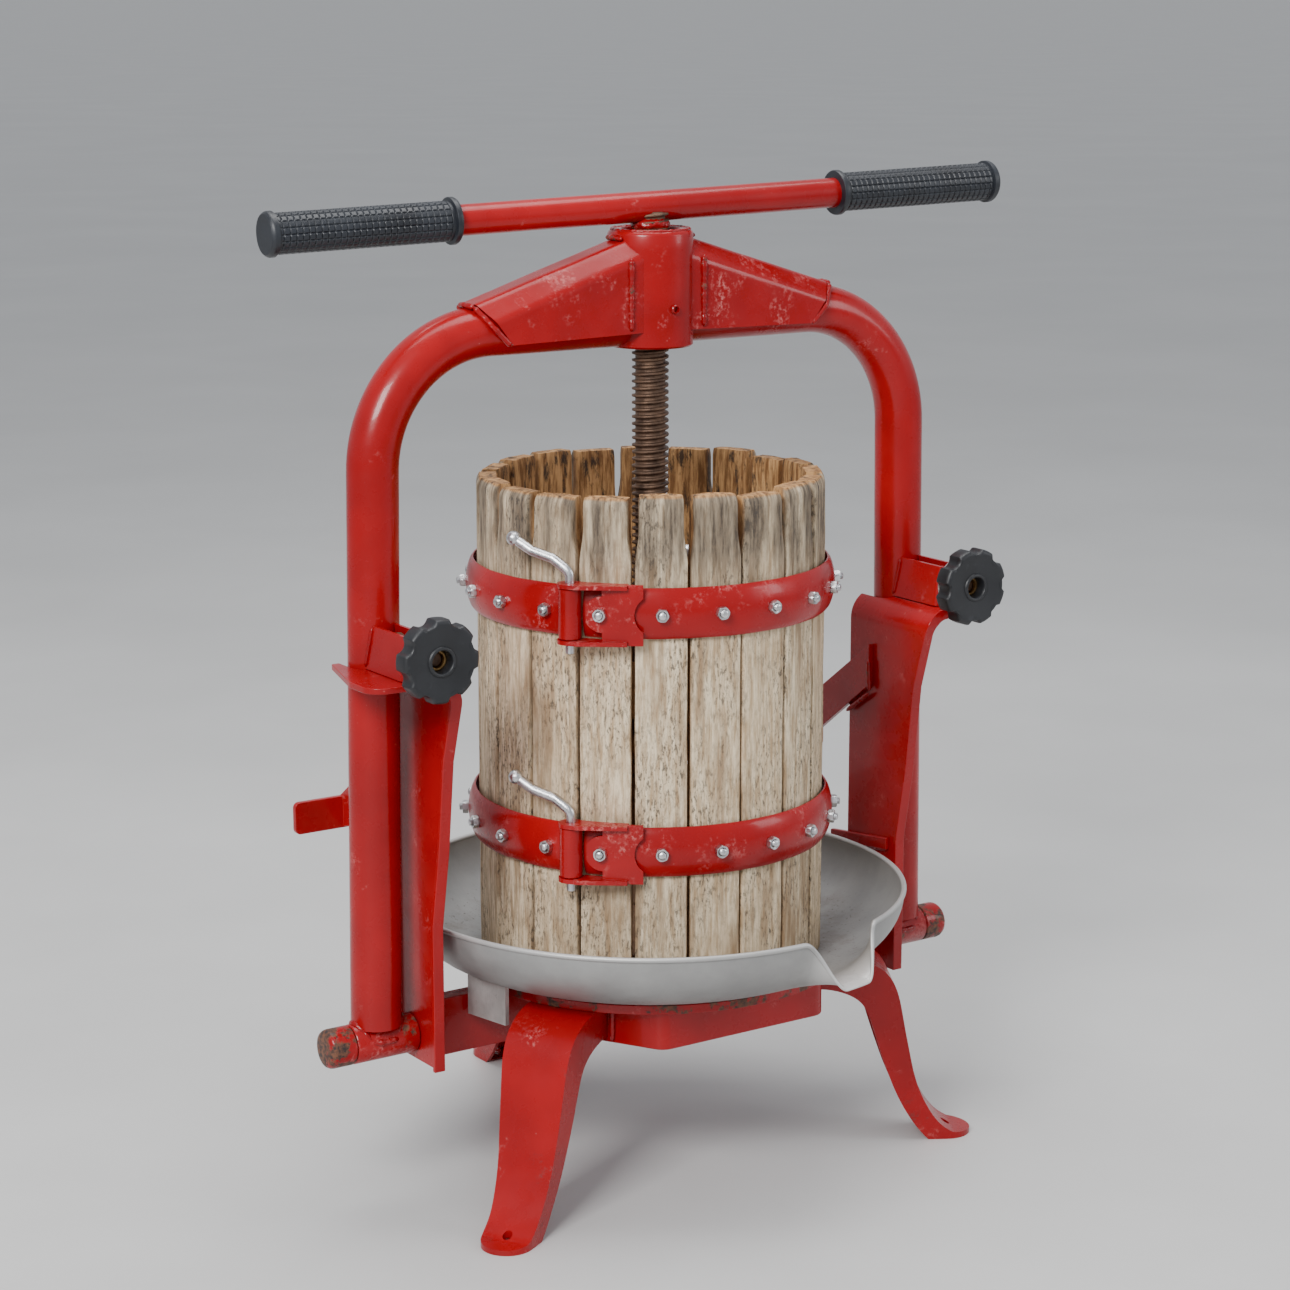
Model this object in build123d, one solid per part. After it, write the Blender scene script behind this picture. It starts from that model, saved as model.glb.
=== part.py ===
from build123d import *
import math
import os

# Basket wine press, millimetres. Z is up and the floor is z = 0. The origin is the point on the
# floor below the screw. X runs along the yoke, from the left arm to the right arm, and -Y is the
# front, where the juice runs out of the tray.

# ---------------------------------------------------------------- driving dimensions
BASKET_RADIUS = 150.0
BASKET_BOTTOM = 183.0
BASKET_HEIGHT = 420.0
STAVE_COUNT = 20
STAVE_WIDTH = 44.0
STAVE_TOP_WIDTH = 37.5
STAVE_INNER_WIDTH = 38.6
STAVE_THICKNESS = 18.0
STAVE_SHOULDER_LOW = 363.0
STAVE_SHOULDER_HIGH = 393.0
STAVE_STEP = 360.0 / STAVE_COUNT
SPLIT_ANGLE = -147.5

HOOP_HEIGHTS = {"upper": 508.0, "lower": 308.0}
HOOP_HALF_WIDTH = 21.0
HOOP_EDGE_RADIUS = 150.2
HOOP_CROWN = 4.8
HOOP_SHEET = 3.0
EYE_RADIUS = 9.5
PIN_CIRCLE = 163.0
PIN_RADIUS = 3.75
PIN_HOLE = 4.1
EAR_SHEET = 3.5
CLAMP_SHEET = 3.5
BOLT_RADIUS = 3.0
NUT_ACROSS_FLATS = 10.0
NUT_HEIGHT = 5.0

TRAY_RADIUS = 222.0
TRAY_RIM_Z = 238.0
TRAY_FLOOR_Z = 181.0
TRAY_SHEET = 2.0
TRAY_CORNER_WIDTH = 71.0
TRAY_CORNER_HEIGHT = 54.0
SPOUT_ROOT_RADIUS = 180.0
SPOUT_ROOT_Z = 190.0
RIM_BEAD = 3.0
SPOUT_ANGLE = -77.5
SPOUT_HALF_ANGLE = 10.5
SPOUT_TIP_RADIUS = 241.0
SPOUT_TIP_Z = 196.0

DISC_RADIUS = 168.0
DISC_BOTTOM = 173.0
SKIRT_APOTHEM = 142.5
SKIRT_SHEET = 5.0
SKIRT_BOTTOM = 140.0
BEAM_BOTTOM = 123.0
BEAM_FRONT = -8.5
BEAM_BACK = 8.5
BEAM_SHEET = 3.0

LEG_ANGLES = {"left": -150.0, "right": -30.0, "back": 90.0}
LEG_SHEET = 3.5
FOOT_HOLE_CIRCLE = 265.0
FOOT_HOLE = 4.0
FOOT_END_RADIUS = 20.0

POST_X = 236.0
POST_SHEET = 5.0
POST_DEPTH = 10.0
POST_BOTTOM = 125.0
POST_BACK = 24.0
POST_BEND = 24.0
SHELF_Z = 466.5
SHELF_END = 319.0
SHELF_FRONT = -85.0
LIP_SHEET = 4.0

YOKE_X = 275.0
YOKE_TOP = 730.0
YOKE_BEND = 108.0
TUBE_RADIUS = 21.2
TUBE_WALL = 3.2
YOKE_TOP_X = 267.0
NOTCH_X = 270.5
NOTCH_RADIUS = 21.9
PIVOT_Z = 147.0
SLEEVE_RADIUS = 16.7
PIVOT_RADIUS = 10.0
SLEEVE_INNER_END = 241.5
SLEEVE_OUTER_END = 300.0
PIVOT_HEAD_END = 324.0

HUB_RADIUS = 36.0
HUB_BOTTOM = 708.0
HUB_TOP = 806.0
HUB_NUT_RADIUS = 24.0
SCREW_RADIUS = 16.0
SCREW_CLEARANCE = 0.05
SCREW_BOTTOM = 452.0
FOOT_BOTTOM = 440.0
FOOT_TOP = 470.0
FOOT_RADIUS = 30.0
SPIGOT_RADIUS = 10.0

HANDLE_Z = 824.0
HANDLE_RADIUS = 12.7
HANDLE_HALF_LENGTH = 342.0
HANDLE_TURN = -4.6
HANDLE_TILT = -1.8
GRIP_LENGTH = 165.0
GRIP_END = 347.0
GRIP_RADIUS = 16.5

LOCK_X = 270.0
LOCK_Z = 488.0
LOCK_PIVOT_Y = -33.0
LOCK_FRONT = -75.0
LOCK_BOTTOM = 467.0
LOCK_TOP = 502.0
LOCK_HALF_BOTTOM = 16.0
LOCK_HALF_TOP = 11.0
LOCK_SHEET = 3.0
LOCK_PIN_HALF = 11.5
STUD_RADIUS = 6.0
STUD_END = -100.0
KNOB_RADIUS = 34.0
KNOB_BACK = -89.6
KNOB_RIM_BACK = -94.0
KNOB_BOSS_RADIUS = 17.0
INSERT_RADIUS = 11.5
KNOB_FACE = -112.0
KNOB_LOBES = 8
KNOB_NOTCH_CIRCLE = 37.7
KNOB_NOTCH_RADIUS = 7.9
KNOB_TURNS = {"right": 0.0, "left": 25.0}

BOARD_RADIUS = 124.0
BOARD_THICKNESS = 28.0
BOARD_GAP = 2.0


def tube_along(axis_plane, outer, inner, length):
    """Straight hollow tube from the plane's origin along its normal."""
    ring = axis_plane * (Circle(outer) - Circle(inner))
    return extrude(ring, length)


def rod(start, direction, radius, length):
    """Straight round rod from a point along a direction."""
    return extrude(Plane(start, z_dir=direction) * Circle(radius), length)


def box_between(low, high):
    """Box from its lowest corner to its highest corner."""
    size = [high[i] - low[i] for i in range(3)]
    middle = [(high[i] + low[i]) / 2 for i in range(3)]
    return Pos(*middle) * Box(*size)


def turned(shape, angle):
    """Shape turned about the screw's axis."""
    return Rot(0, 0, angle) * shape


def mirrored(shape):
    """Same shape on the other side of the screw."""
    return mirror(shape, Plane.YZ)


def polyhedron(points, faces):
    """Closed solid from corner points and faces of point numbers."""
    sides = [Face(Wire.make_polygon([points[i] for i in face])) for face in faces]
    return Solid(Shell(sides))


def sector(inner, outer, low, high, start, sweep):
    """Ring segment about the basket's axis, from an angle over a sweep."""
    section = Plane.XZ * Pos((inner + outer) / 2, (low + high) / 2) * Rectangle(outer - inner, high - low)
    return turned(revolve(section, Axis.Z, sweep), start)


# ---------------------------------------------------------------- basket
def stave_angles():
    """Angles of the stave centres, counted from the split between the halves."""
    return [SPLIT_ANGLE + STAVE_STEP * (k + 0.5) for k in range(STAVE_COUNT)]


def radial_hole(radius, angle, z):
    """Round cutter along a radius of the basket."""
    return turned(rod((100, 0, z), (1, 0, 0), radius, 100), angle)


def stave(angle):
    """Oak stave: parallel, then a short shoulder to a narrower top."""
    half = STAVE_WIDTH / 2
    top = STAVE_TOP_WIDTH / 2
    middle = (STAVE_SHOULDER_LOW + STAVE_SHOULDER_HIGH) / 2
    right = Bezier((half, STAVE_SHOULDER_LOW), (half, middle), (top, middle), (top, STAVE_SHOULDER_HIGH))
    left = Bezier((-top, STAVE_SHOULDER_HIGH), (-top, middle), (-half, middle), (-half, STAVE_SHOULDER_LOW))
    outline = Wire([
        Line((-half, 0), (half, 0)),
        Line((half, 0), (half, STAVE_SHOULDER_LOW)),
        right,
        Line((top, STAVE_SHOULDER_HIGH), (top, BASKET_HEIGHT)),
        Line((top, BASKET_HEIGHT), (-top, BASKET_HEIGHT)),
        Line((-top, BASKET_HEIGHT), (-top, STAVE_SHOULDER_HIGH)),
        left,
        Line((-half, STAVE_SHOULDER_LOW), (-half, 0)),
    ])
    outer_face = math.sqrt(BASKET_RADIUS ** 2 - half ** 2)
    inner_face = outer_face - STAVE_THICKNESS
    board = extrude(Plane.YZ.offset(inner_face) * make_face(outline), STAVE_THICKNESS)
    bevel = [(inner_face, -STAVE_INNER_WIDTH / 2), (outer_face, -half), (outer_face, half),
             (inner_face, STAVE_INNER_WIDTH / 2)]
    board = board & extrude(make_face(Polyline(bevel, close=True)), BASKET_HEIGHT)
    board = turned(Pos(0, 0, BASKET_BOTTOM) * board, angle)
    for z in HOOP_HEIGHTS.values():
        board -= radial_hole(BOLT_RADIUS + 0.1, angle, z)
    return board


def half_staves(first):
    """The ten staves of one half of the basket."""
    angles = stave_angles()[first:first + STAVE_COUNT // 2]
    return Compound([stave(angle) for angle in angles])


def hoop_section():
    """Crowned band, hollow behind the crown."""
    edge = HOOP_EDGE_RADIUS
    crown = edge + HOOP_CROWN
    half = HOOP_HALF_WIDTH
    flat = HOOP_HALF_WIDTH / 3
    inside = [(edge, half), (crown, flat), (crown, -flat), (edge, -half)]
    outside = [(r + HOOP_SHEET, -z) for r, z in inside]
    return Plane.XZ * make_face(Polyline(inside + outside, close=True))


def half_hoop(z, first):
    """Half band with bolt holes and a rolled eye at its far end."""
    start = SPLIT_ANGLE + 180.0 * first
    band = turned(revolve(hoop_section(), Axis.Z, 177.0), start + 4.0)
    eye_place = turned(Pos(PIN_CIRCLE, 0, 0), start + 180.0)
    eye = eye_place * Cylinder(EYE_RADIUS, 2 * HOOP_HALF_WIDTH)
    band = band + eye - eye_place * Cylinder(PIN_HOLE + 0.2, 3 * HOOP_HALF_WIDTH)
    band = Pos(0, 0, z) * band
    for angle in stave_angles()[10 * first:10 * first + 10]:
        band -= radial_hole(BOLT_RADIUS + 0.1, angle, z)
    return band


def hoop_clamp(z, first):
    """Folded clamp on one band, with two ears that reach over the eye of the other band."""
    start = SPLIT_ANGLE + 180.0 * first
    bolt_angle = start + STAVE_STEP / 2
    plate_in = HOOP_EDGE_RADIUS + HOOP_SHEET + HOOP_CROWN + 0.1
    plate_out = plate_in + CLAMP_SHEET
    half = HOOP_HALF_WIDTH + 0.4 + EAR_SHEET
    back = sector(plate_in, plate_out, -half, half, bolt_angle + 0.5, 12.0)
    scallop = turned(rod((100, 0, 0), (1, 0, 0), 17.0, 100), bolt_angle + 16.0)
    tongue = sector(plate_in, plate_out, -15.0, 15.0, start + 4.6, 5.0)
    tongue = tongue & turned(rod((100, 0, 0), (1, 0, 0), 15.0, 100), bolt_angle + 0.5)
    clamp = back - scallop + tongue
    outline = Polyline([(0, 0), (175.0, 0), (173.3, 9.1), (158.3, 49.9)], close=True)
    taper = turned(extrude(make_face(outline), 2 * half, both=True), start)
    for side in (-1, 1):
        low = min(side * half, side * (half - EAR_SHEET))
        ear = sector(plate_in - 4.0, PIN_CIRCLE + EYE_RADIUS + 1.0, low, low + EAR_SHEET, start, 17.0)
        ear = ear & taper
        end = turned(Pos(PIN_CIRCLE, 0, low + EAR_SHEET / 2) * Cylinder(EYE_RADIUS + 1.0, EAR_SHEET), start)
        clamp = clamp + ear + end
    clamp -= turned(Pos(PIN_CIRCLE, 0, 0) * Cylinder(PIN_HOLE, 3 * half), start)
    clamp -= turned(rod((100, 0, 0), (1, 0, 0), BOLT_RADIUS + 0.1, 100), bolt_angle)
    return Pos(0, 0, z) * clamp


def bolt_seats():
    """Every hoop bolt as its angle, height and the radius on which its nut sits."""
    band = HOOP_EDGE_RADIUS + HOOP_SHEET + HOOP_CROWN
    seats = []
    for z in HOOP_HEIGHTS.values():
        for k, angle in enumerate(stave_angles()):
            on_clamp = k % (STAVE_COUNT // 2) == 0
            seats.append((angle, z, band + (0.1 + CLAMP_SHEET if on_clamp else 0.0)))
    return seats


def hoop_bolts():
    """Cup-head bolts through each stave and band, heads inside the basket."""
    inner_face = math.sqrt(BASKET_RADIUS ** 2 - (STAVE_WIDTH / 2) ** 2) - STAVE_THICKNESS
    bolts = []
    for angle, z, seat in bolt_seats():
        shank = rod((inner_face, 0, z), (1, 0, 0), BOLT_RADIUS, seat + NUT_HEIGHT + 3.0 - inner_face)
        head = rod((inner_face - 2.5, 0, z), (1, 0, 0), 6.5, 2.5)
        bolts.append(turned(shank + head, angle))
    return Compound(bolts)


def hoop_nuts():
    """Hexagon nuts on the hoop bolts."""
    corner_radius = NUT_ACROSS_FLATS / math.sqrt(3)
    hexagon = RegularPolygon(corner_radius, 6) - Circle(BOLT_RADIUS)
    nuts = []
    for angle, z, seat in bolt_seats():
        nut = extrude(Plane((seat, 0, z), z_dir=(1, 0, 0)) * hexagon, NUT_HEIGHT)
        nuts.append(turned(nut, angle))
    return Compound(nuts)


def hoop_pin(z, first):
    """Bent rod pin: straight through the eye, then a cranked handle with a ball end."""
    centre_line = FilletPolyline((0, -33), (0, 34), (-15, 44), (-34, 49), (-50, 58), radius=9.0)
    path = Plane.YZ * centre_line
    pin = sweep(Plane((0, 0, -33), z_dir=(0, 0, 1)) * Circle(PIN_RADIUS), path=path)
    pin += Pos(0, -50, 58) * Sphere(6.0)
    return turned(Pos(PIN_CIRCLE, 0, z) * pin, SPLIT_ANGLE + 180.0 * first)


def press_board(side):
    """Half of the round wooden board that spreads the screw's load."""
    disc = Pos(0, 0, BASKET_BOTTOM + BOARD_THICKNESS / 2) * Cylinder(BOARD_RADIUS, BOARD_THICKNESS)
    reach = 2 * BOARD_RADIUS
    top = BASKET_BOTTOM + 2 * BOARD_THICKNESS
    if side < 0:
        keep = box_between((-reach, -reach, 0), (-BOARD_GAP / 2, reach, top))
    else:
        keep = box_between((BOARD_GAP / 2, -reach, 0), (reach, reach, top))
    return disc & keep


# ---------------------------------------------------------------- juice tray
def dish(inset, floor, top):
    """Solid dish shape with a wide rounded foot, inset from the tray's outside."""
    radius = TRAY_RADIUS - inset
    width = TRAY_CORNER_WIDTH - inset
    height = TRAY_CORNER_HEIGHT - inset
    bend = 0.5523
    foot = (radius - width, floor)
    shoulder = (radius, floor + height)
    outline = Wire([
        Line((0, top), (0, floor)),
        Line((0, floor), foot),
        Bezier(foot, (foot[0] + bend * width, floor), (radius, shoulder[1] - bend * height), shoulder),
        Line(shoulder, (radius, top)),
        Line((radius, top), (0, top)),
    ])
    return revolve(Plane.XZ * make_face(outline), Axis.Z, 360)


def spout_wedge(shift, lift):
    """Pointed wedge that pushes the wall out into a pouring lip."""
    corners = []
    for angle in (SPOUT_ANGLE - SPOUT_HALF_ANGLE, SPOUT_ANGLE + SPOUT_HALF_ANGLE):
        turn = math.radians(angle)
        reach = TRAY_RADIUS + shift
        corners.append((reach * math.cos(turn), reach * math.sin(turn), TRAY_RIM_Z + lift))
    middle = math.radians(SPOUT_ANGLE)
    tip = SPOUT_TIP_RADIUS + shift
    base = SPOUT_ROOT_RADIUS + shift
    corners.append((tip * math.cos(middle), tip * math.sin(middle), SPOUT_TIP_Z + lift))
    corners.append((base * math.cos(middle), base * math.sin(middle), SPOUT_ROOT_Z + lift))
    return polyhedron(corners, [(0, 1, 2), (0, 2, 3), (1, 3, 2), (0, 3, 1)])


def tray():
    """Pressed tray with a rolled rim and a pouring lip."""
    shell = dish(0.0, TRAY_FLOOR_Z, TRAY_RIM_Z)
    shell += Pos(0, 0, TRAY_RIM_Z) * Torus(TRAY_RADIUS, RIM_BEAD)
    mouth = sector(TRAY_RADIUS - 9, TRAY_RADIUS + 9, SPOUT_TIP_Z, TRAY_RIM_Z + 9,
                   SPOUT_ANGLE - SPOUT_HALF_ANGLE + 1.0, 2 * SPOUT_HALF_ANGLE - 2.0)
    shell = shell - mouth + spout_wedge(0, 0)
    hollow = dish(TRAY_SHEET, TRAY_FLOOR_Z + TRAY_SHEET, TRAY_RIM_Z + 20)
    return shell - hollow - spout_wedge(-TRAY_SHEET, 2 * TRAY_SHEET)


def tray_lug():
    """Locating plate under the tray, beside the beam."""
    plate = box_between((-2, -23, 157.5), (2, 23, 199))
    plate = Pos(-187.0, -35.0, 0) * Rot(0, 0, 12.0) * plate
    return plate - dish(0.0, TRAY_FLOOR_Z, TRAY_RIM_Z)


# ---------------------------------------------------------------- base
def disc():
    """Round plate under the tray."""
    return Pos(0, 0, (DISC_BOTTOM + TRAY_FLOOR_Z) / 2) * Cylinder(DISC_RADIUS, TRAY_FLOOR_Z - DISC_BOTTOM)


def beam():
    """Box beam between the two posts."""
    low = (-POST_X, BEAM_FRONT, BEAM_BOTTOM)
    high = (POST_X, BEAM_BACK, DISC_BOTTOM)
    inside_low = (-POST_X - 1, BEAM_FRONT + BEAM_SHEET, BEAM_BOTTOM + BEAM_SHEET)
    inside_high = (POST_X + 1, BEAM_BACK - BEAM_SHEET, DISC_BOTTOM - BEAM_SHEET)
    return box_between(low, high) - box_between(inside_low, inside_high)


def skirt(front):
    """Half of the six-sided bent skirt that carries the legs."""
    height = DISC_BOTTOM - SKIRT_BOTTOM
    corner = 1 / math.cos(math.radians(30))
    outside = extrude(RegularPolygon(SKIRT_APOTHEM * corner, 6), height)
    inside = extrude(RegularPolygon((SKIRT_APOTHEM - SKIRT_SHEET) * corner, 6), height)
    outside = fillet(outside.edges().filter_by(Axis.Z), 14.0)
    inside = fillet(inside.edges().filter_by(Axis.Z), 9.0)
    ring = Pos(0, 0, SKIRT_BOTTOM) * (outside - inside)
    if front:
        keep = box_between((-200, -200, 0), (200, BEAM_FRONT, 200))
    else:
        keep = box_between((-200, BEAM_BACK, 0), (200, 200, 200))
    return ring & keep


def leg_profile(shift_out, shift_up, closed_foot):
    """Side view of a leg: distance from the axis, height."""
    crest = [(166, 173), (190, 168.5), (207, 157), (216, 140), (221, 118), (228, 83), (234, 58), (245, 32),
             (257, 15), (270, 6)]
    crest = [(r + shift_out, z + shift_up) for r, z in crest]
    outer = Spline(crest)
    if closed_foot:
        back = [(247, 0), (232, 18), (217, 45), (204, 79), (194, 110), (184, 131), (165, 142), (SKIRT_APOTHEM, 145)]
        inner = Spline(back)
        parts = [Line((SKIRT_APOTHEM, crest[0][1]), crest[0]), outer, Line(crest[-1], (292, 4)),
                 Line((292, 4), (292, 0)), Line((292, 0), back[0]), inner, Line(back[-1], (SKIRT_APOTHEM, crest[0][1]))]
    else:
        parts = [Line((100, crest[0][1]), crest[0]), outer, Line(crest[-1], (100, crest[-1][1])),
                 Line((100, crest[-1][1]), (100, crest[0][1]))]
    return Plane.XZ * make_face(Wire(parts))


def leg_width(inset):
    """Front view of a leg, tapering towards the foot, as a cutter."""
    edge = [(31, 174), (30, 140), (27.5, 90), (22.5, 20), (22, -1)]
    right = [(y - inset, z) for y, z in edge]
    left = [(-y, z) for y, z in reversed(right)]
    return extrude(Plane.YZ * make_face(Polyline(right + left, close=True)), 320)


def leg(angle):
    """Pressed channel leg with a flat foot and one fixing hole."""
    outer = extrude(leg_profile(0, 0, True), 40, both=True) & leg_width(0)
    hollow = extrude(leg_profile(-LEG_SHEET - 0.5, -LEG_SHEET, False), 40, both=True) & leg_width(LEG_SHEET)
    plan = Rectangle(FOOT_HOLE_CIRCLE, 90, align=(Align.MIN, Align.CENTER))
    plan += Pos(FOOT_HOLE_CIRCLE, 0) * Circle(FOOT_END_RADIUS + 2.0)
    shape = (outer - hollow) & extrude(plan, 200)
    shape -= Pos(FOOT_HOLE_CIRCLE, 0, 0) * Cylinder(FOOT_HOLE, 60)
    return turned(shape, angle)


# ---------------------------------------------------------------- posts
def post_profile(depth):
    """Front view of a post: upright, bend and shelf, as a band of a given depth."""
    bend_z = SHELF_Z - POST_BEND
    bend_x = POST_X + POST_BEND
    inner_bend = POST_BEND - depth
    edge = Wire([
        Line((POST_X, POST_BOTTOM), (POST_X, bend_z)),
        RadiusArc((POST_X, bend_z), (bend_x, SHELF_Z), POST_BEND),
        Line((bend_x, SHELF_Z), (SHELF_END, SHELF_Z)),
        Line((SHELF_END, SHELF_Z), (SHELF_END, SHELF_Z - depth)),
        Line((SHELF_END, SHELF_Z - depth), (bend_x, SHELF_Z - depth)),
        RadiusArc((bend_x, SHELF_Z - depth), (POST_X + depth, bend_z), -inner_bend),
        Line((POST_X + depth, bend_z), (POST_X + depth, POST_BOTTOM)),
        Line((POST_X + depth, POST_BOTTOM), (POST_X, POST_BOTTOM)),
    ])
    return extrude(Plane.XZ * make_face(edge), 150, both=True)


def post_side_view(inset):
    """Side view of a post, wider towards the shelf."""
    front = [(-47, POST_BOTTOM), (-47, 250), (-59, 317), (-68, 394), (SHELF_FRONT, 452), (SHELF_FRONT, 480)]
    corners = [(y + inset, z) for y, z in front] + [(POST_BACK - inset, 480), (POST_BACK - inset, POST_BOTTOM)]
    return extrude(Plane.YZ * make_face(Polyline(corners, close=True)), 400)


def shelf_plan():
    """Plan of a post as a cutter, with the shelf's tapered and rounded outer end."""
    outline = FilletPolyline((0, 40), (293.0, 40), (SHELF_END, -48), (SHELF_END, SHELF_FRONT), (0, SHELF_FRONT),
                             radius=17.0, close=True)
    return extrude(make_face(outline), 600) - box_between((NOTCH_X, 18, 400), (400, 60, 600))


def post():
    """Bent plate post with lips on its edges and a notched shelf."""
    web = post_profile(POST_SHEET) & post_side_view(0)
    lips = (post_profile(POST_DEPTH) & post_side_view(0)) - post_side_view(LIP_SHEET)
    under = [(260, SHELF_Z - POST_DEPTH), (278, SHELF_Z - POST_SHEET), (400, SHELF_Z - POST_SHEET), (400, 300),
             (260, 300)]
    lips -= extrude(Plane.XZ * make_face(Polyline(under, close=True)), 150, both=True)
    shape = (web + lips) & shelf_plan()
    notch = Pos(NOTCH_X, 0, SHELF_Z) * Cylinder(NOTCH_RADIUS, 60)
    notch += box_between((NOTCH_X - NOTCH_RADIUS, 0, SHELF_Z - 30), (NOTCH_X + NOTCH_RADIUS, 60, SHELF_Z + 30))
    shape -= notch
    return shape - rod((POST_X - 20, 0, PIVOT_Z), (1, 0, 0), PIVOT_RADIUS, 60)


def stop_arm():
    """Flat bar that slopes back from the post and turns out behind the yoke arm."""
    side = [(-10, 424), (-10, 386), (104, 300), (127.5, 295), (127.5, 323), (118, 330)]
    bar = extrude(Plane.YZ.offset(POST_X - 5) * make_face(Polyline(side, close=True)), 5)
    turned_end = box_between((POST_X - 5, 122.5, 295), (YOKE_X + 7, 127.5, 323))
    turned_end = fillet(turned_end.edges().filter_by(Axis.Y).group_by(Axis.X)[-1], 5.0)
    return bar + turned_end


def side_rail():
    """Short bar on the inner face of the post, beside the tray's rim."""
    side = [(-38, 249), (-38, 238), (44, 228), (44, 239)]
    return extrude(Plane.YZ.offset(POST_X - 4.5) * make_face(Polyline(side, close=True)), 4.5)


# ---------------------------------------------------------------- yoke
def pivot_sleeve():
    """Sleeve at the foot of a yoke arm, turning on the pivot pin."""
    plane = Plane((SLEEVE_INNER_END, 0, PIVOT_Z), z_dir=(1, 0, 0))
    return tube_along(plane, SLEEVE_RADIUS, PIVOT_RADIUS + 0.1, SLEEVE_OUTER_END - SLEEVE_INNER_END)


def pivot_pin():
    """Headed pin fixed in the post."""
    shank = rod((POST_X, 0, PIVOT_Z), (1, 0, 0), PIVOT_RADIUS, SLEEVE_OUTER_END + 0.6 - POST_X)
    head = rod((SLEEVE_OUTER_END + 0.6, 0, PIVOT_Z), (1, 0, 0), SLEEVE_RADIUS, PIVOT_HEAD_END - SLEEVE_OUTER_END)
    head = chamfer(head.edges().group_by(Axis.X)[-1], 2.0)
    return shank + head


def yoke_arm():
    """Bent tube: up from the sleeve, round the bend and in to the hub."""
    path = FilletPolyline((YOKE_X, 0, PIVOT_Z), (YOKE_TOP_X, 0, YOKE_TOP), (0, 0, YOKE_TOP), radius=YOKE_BEND)
    foot = Plane((YOKE_X, 0, PIVOT_Z), z_dir=path % 0)
    arm = sweep(foot * Circle(TUBE_RADIUS), path=path) - sweep(foot * Circle(TUBE_RADIUS - TUBE_WALL), path=path)
    arm -= rod((YOKE_X - 60, 0, PIVOT_Z), (1, 0, 0), SLEEVE_RADIUS, 120)
    arm -= box_between((YOKE_X - 60, -60, 100), (YOKE_X + 60, 60, PIVOT_Z))
    return arm - Pos(0, 0, YOKE_TOP) * Cylinder(HUB_RADIUS, 200)


def hub():
    """Barrel that holds the screw's nut."""
    barrel = Pos(0, 0, (HUB_BOTTOM + HUB_TOP) / 2) * Cylinder(HUB_RADIUS, HUB_TOP - HUB_BOTTOM)
    barrel = fillet(barrel.edges().group_by(Axis.Z)[-1], 4.0)
    barrel -= Pos(0, 0, HUB_TOP) * Cylinder(HUB_NUT_RADIUS, 300)
    return barrel - rod((0, -60, 741), (0, 1, 0), 4.0, 40)


def hub_nut():
    """Bronze screw nut inside the barrel."""
    height = HUB_TOP - HUB_BOTTOM - 4.0
    nut = Pos(0, 0, HUB_BOTTOM + height / 2) * Cylinder(HUB_NUT_RADIUS, height)
    return nut - Pos(0, 0, HUB_BOTTOM) * Cylinder(SCREW_RADIUS + SCREW_CLEARANCE, 400)


def nut_lock_screw():
    """Socket set screw in the front of the barrel."""
    screw = rod((0, -HUB_RADIUS - 3.0, 741), (0, 1, 0), 4.0, 3.0 + HUB_RADIUS - HUB_NUT_RADIUS)
    socket = Plane((0, -HUB_RADIUS - 3.5, 741), z_dir=(0, 1, 0)) * RegularPolygon(2.4, 6)
    return screw - extrude(socket, 4.5)


def gusset_section(x, half_width, bottom, ridge, apex):
    """Gabled cross-section of a gusset at one distance from the hub."""
    corners = [(-half_width, bottom), (-half_width, ridge), (-half_width * 0.45, apex), (half_width * 0.45, apex),
               (half_width, ridge), (half_width, bottom)]
    return Plane.YZ.offset(x) * make_face(Polyline(corners, close=True))


def gusset():
    """Tapered sheet saddle over the yoke's cross tube."""
    outer = loft([gusset_section(20, 26.5, 722, 786, 802), gusset_section(182, 25.5, 719, 734, 751.5)], ruled=True)
    inner = loft([gusset_section(19, 23.5, 700, 783.5, 799), gusset_section(183, 22.5, 700, 731.5, 748.5)], ruled=True)
    shell = outer - inner - Pos(0, 0, YOKE_TOP) * Cylinder(HUB_RADIUS, 300)
    end_cut = Polyline([(150, 700), (150, 719), (181, 758), (200, 758), (200, 700)], close=True)
    shell -= extrude(Plane.XZ * make_face(end_cut), 60, both=True)
    crossing = rod((0, 0, YOKE_TOP), (1, 0, 0), TUBE_RADIUS + 0.1, 200)
    return shell - crossing


# ---------------------------------------------------------------- screw
def thrust_foot():
    """Foot that stays still while the screw turns in it."""
    height = FOOT_TOP - FOOT_BOTTOM
    foot = Pos(0, 0, FOOT_BOTTOM + height / 2) * Cylinder(FOOT_RADIUS, height)
    foot = chamfer(foot.edges().group_by(Axis.Z)[-1], 6.0)
    return foot - Pos(0, 0, SCREW_BOTTOM + 20) * Cylinder(SPIGOT_RADIUS + SCREW_CLEARANCE, 40)


def handle_place():
    """Frame of the handle bar, along its own X axis."""
    return Pos(0, 0, HANDLE_Z) * Rot(0, 0, HANDLE_TURN) * Rot(0, HANDLE_TILT, 0)


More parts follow.
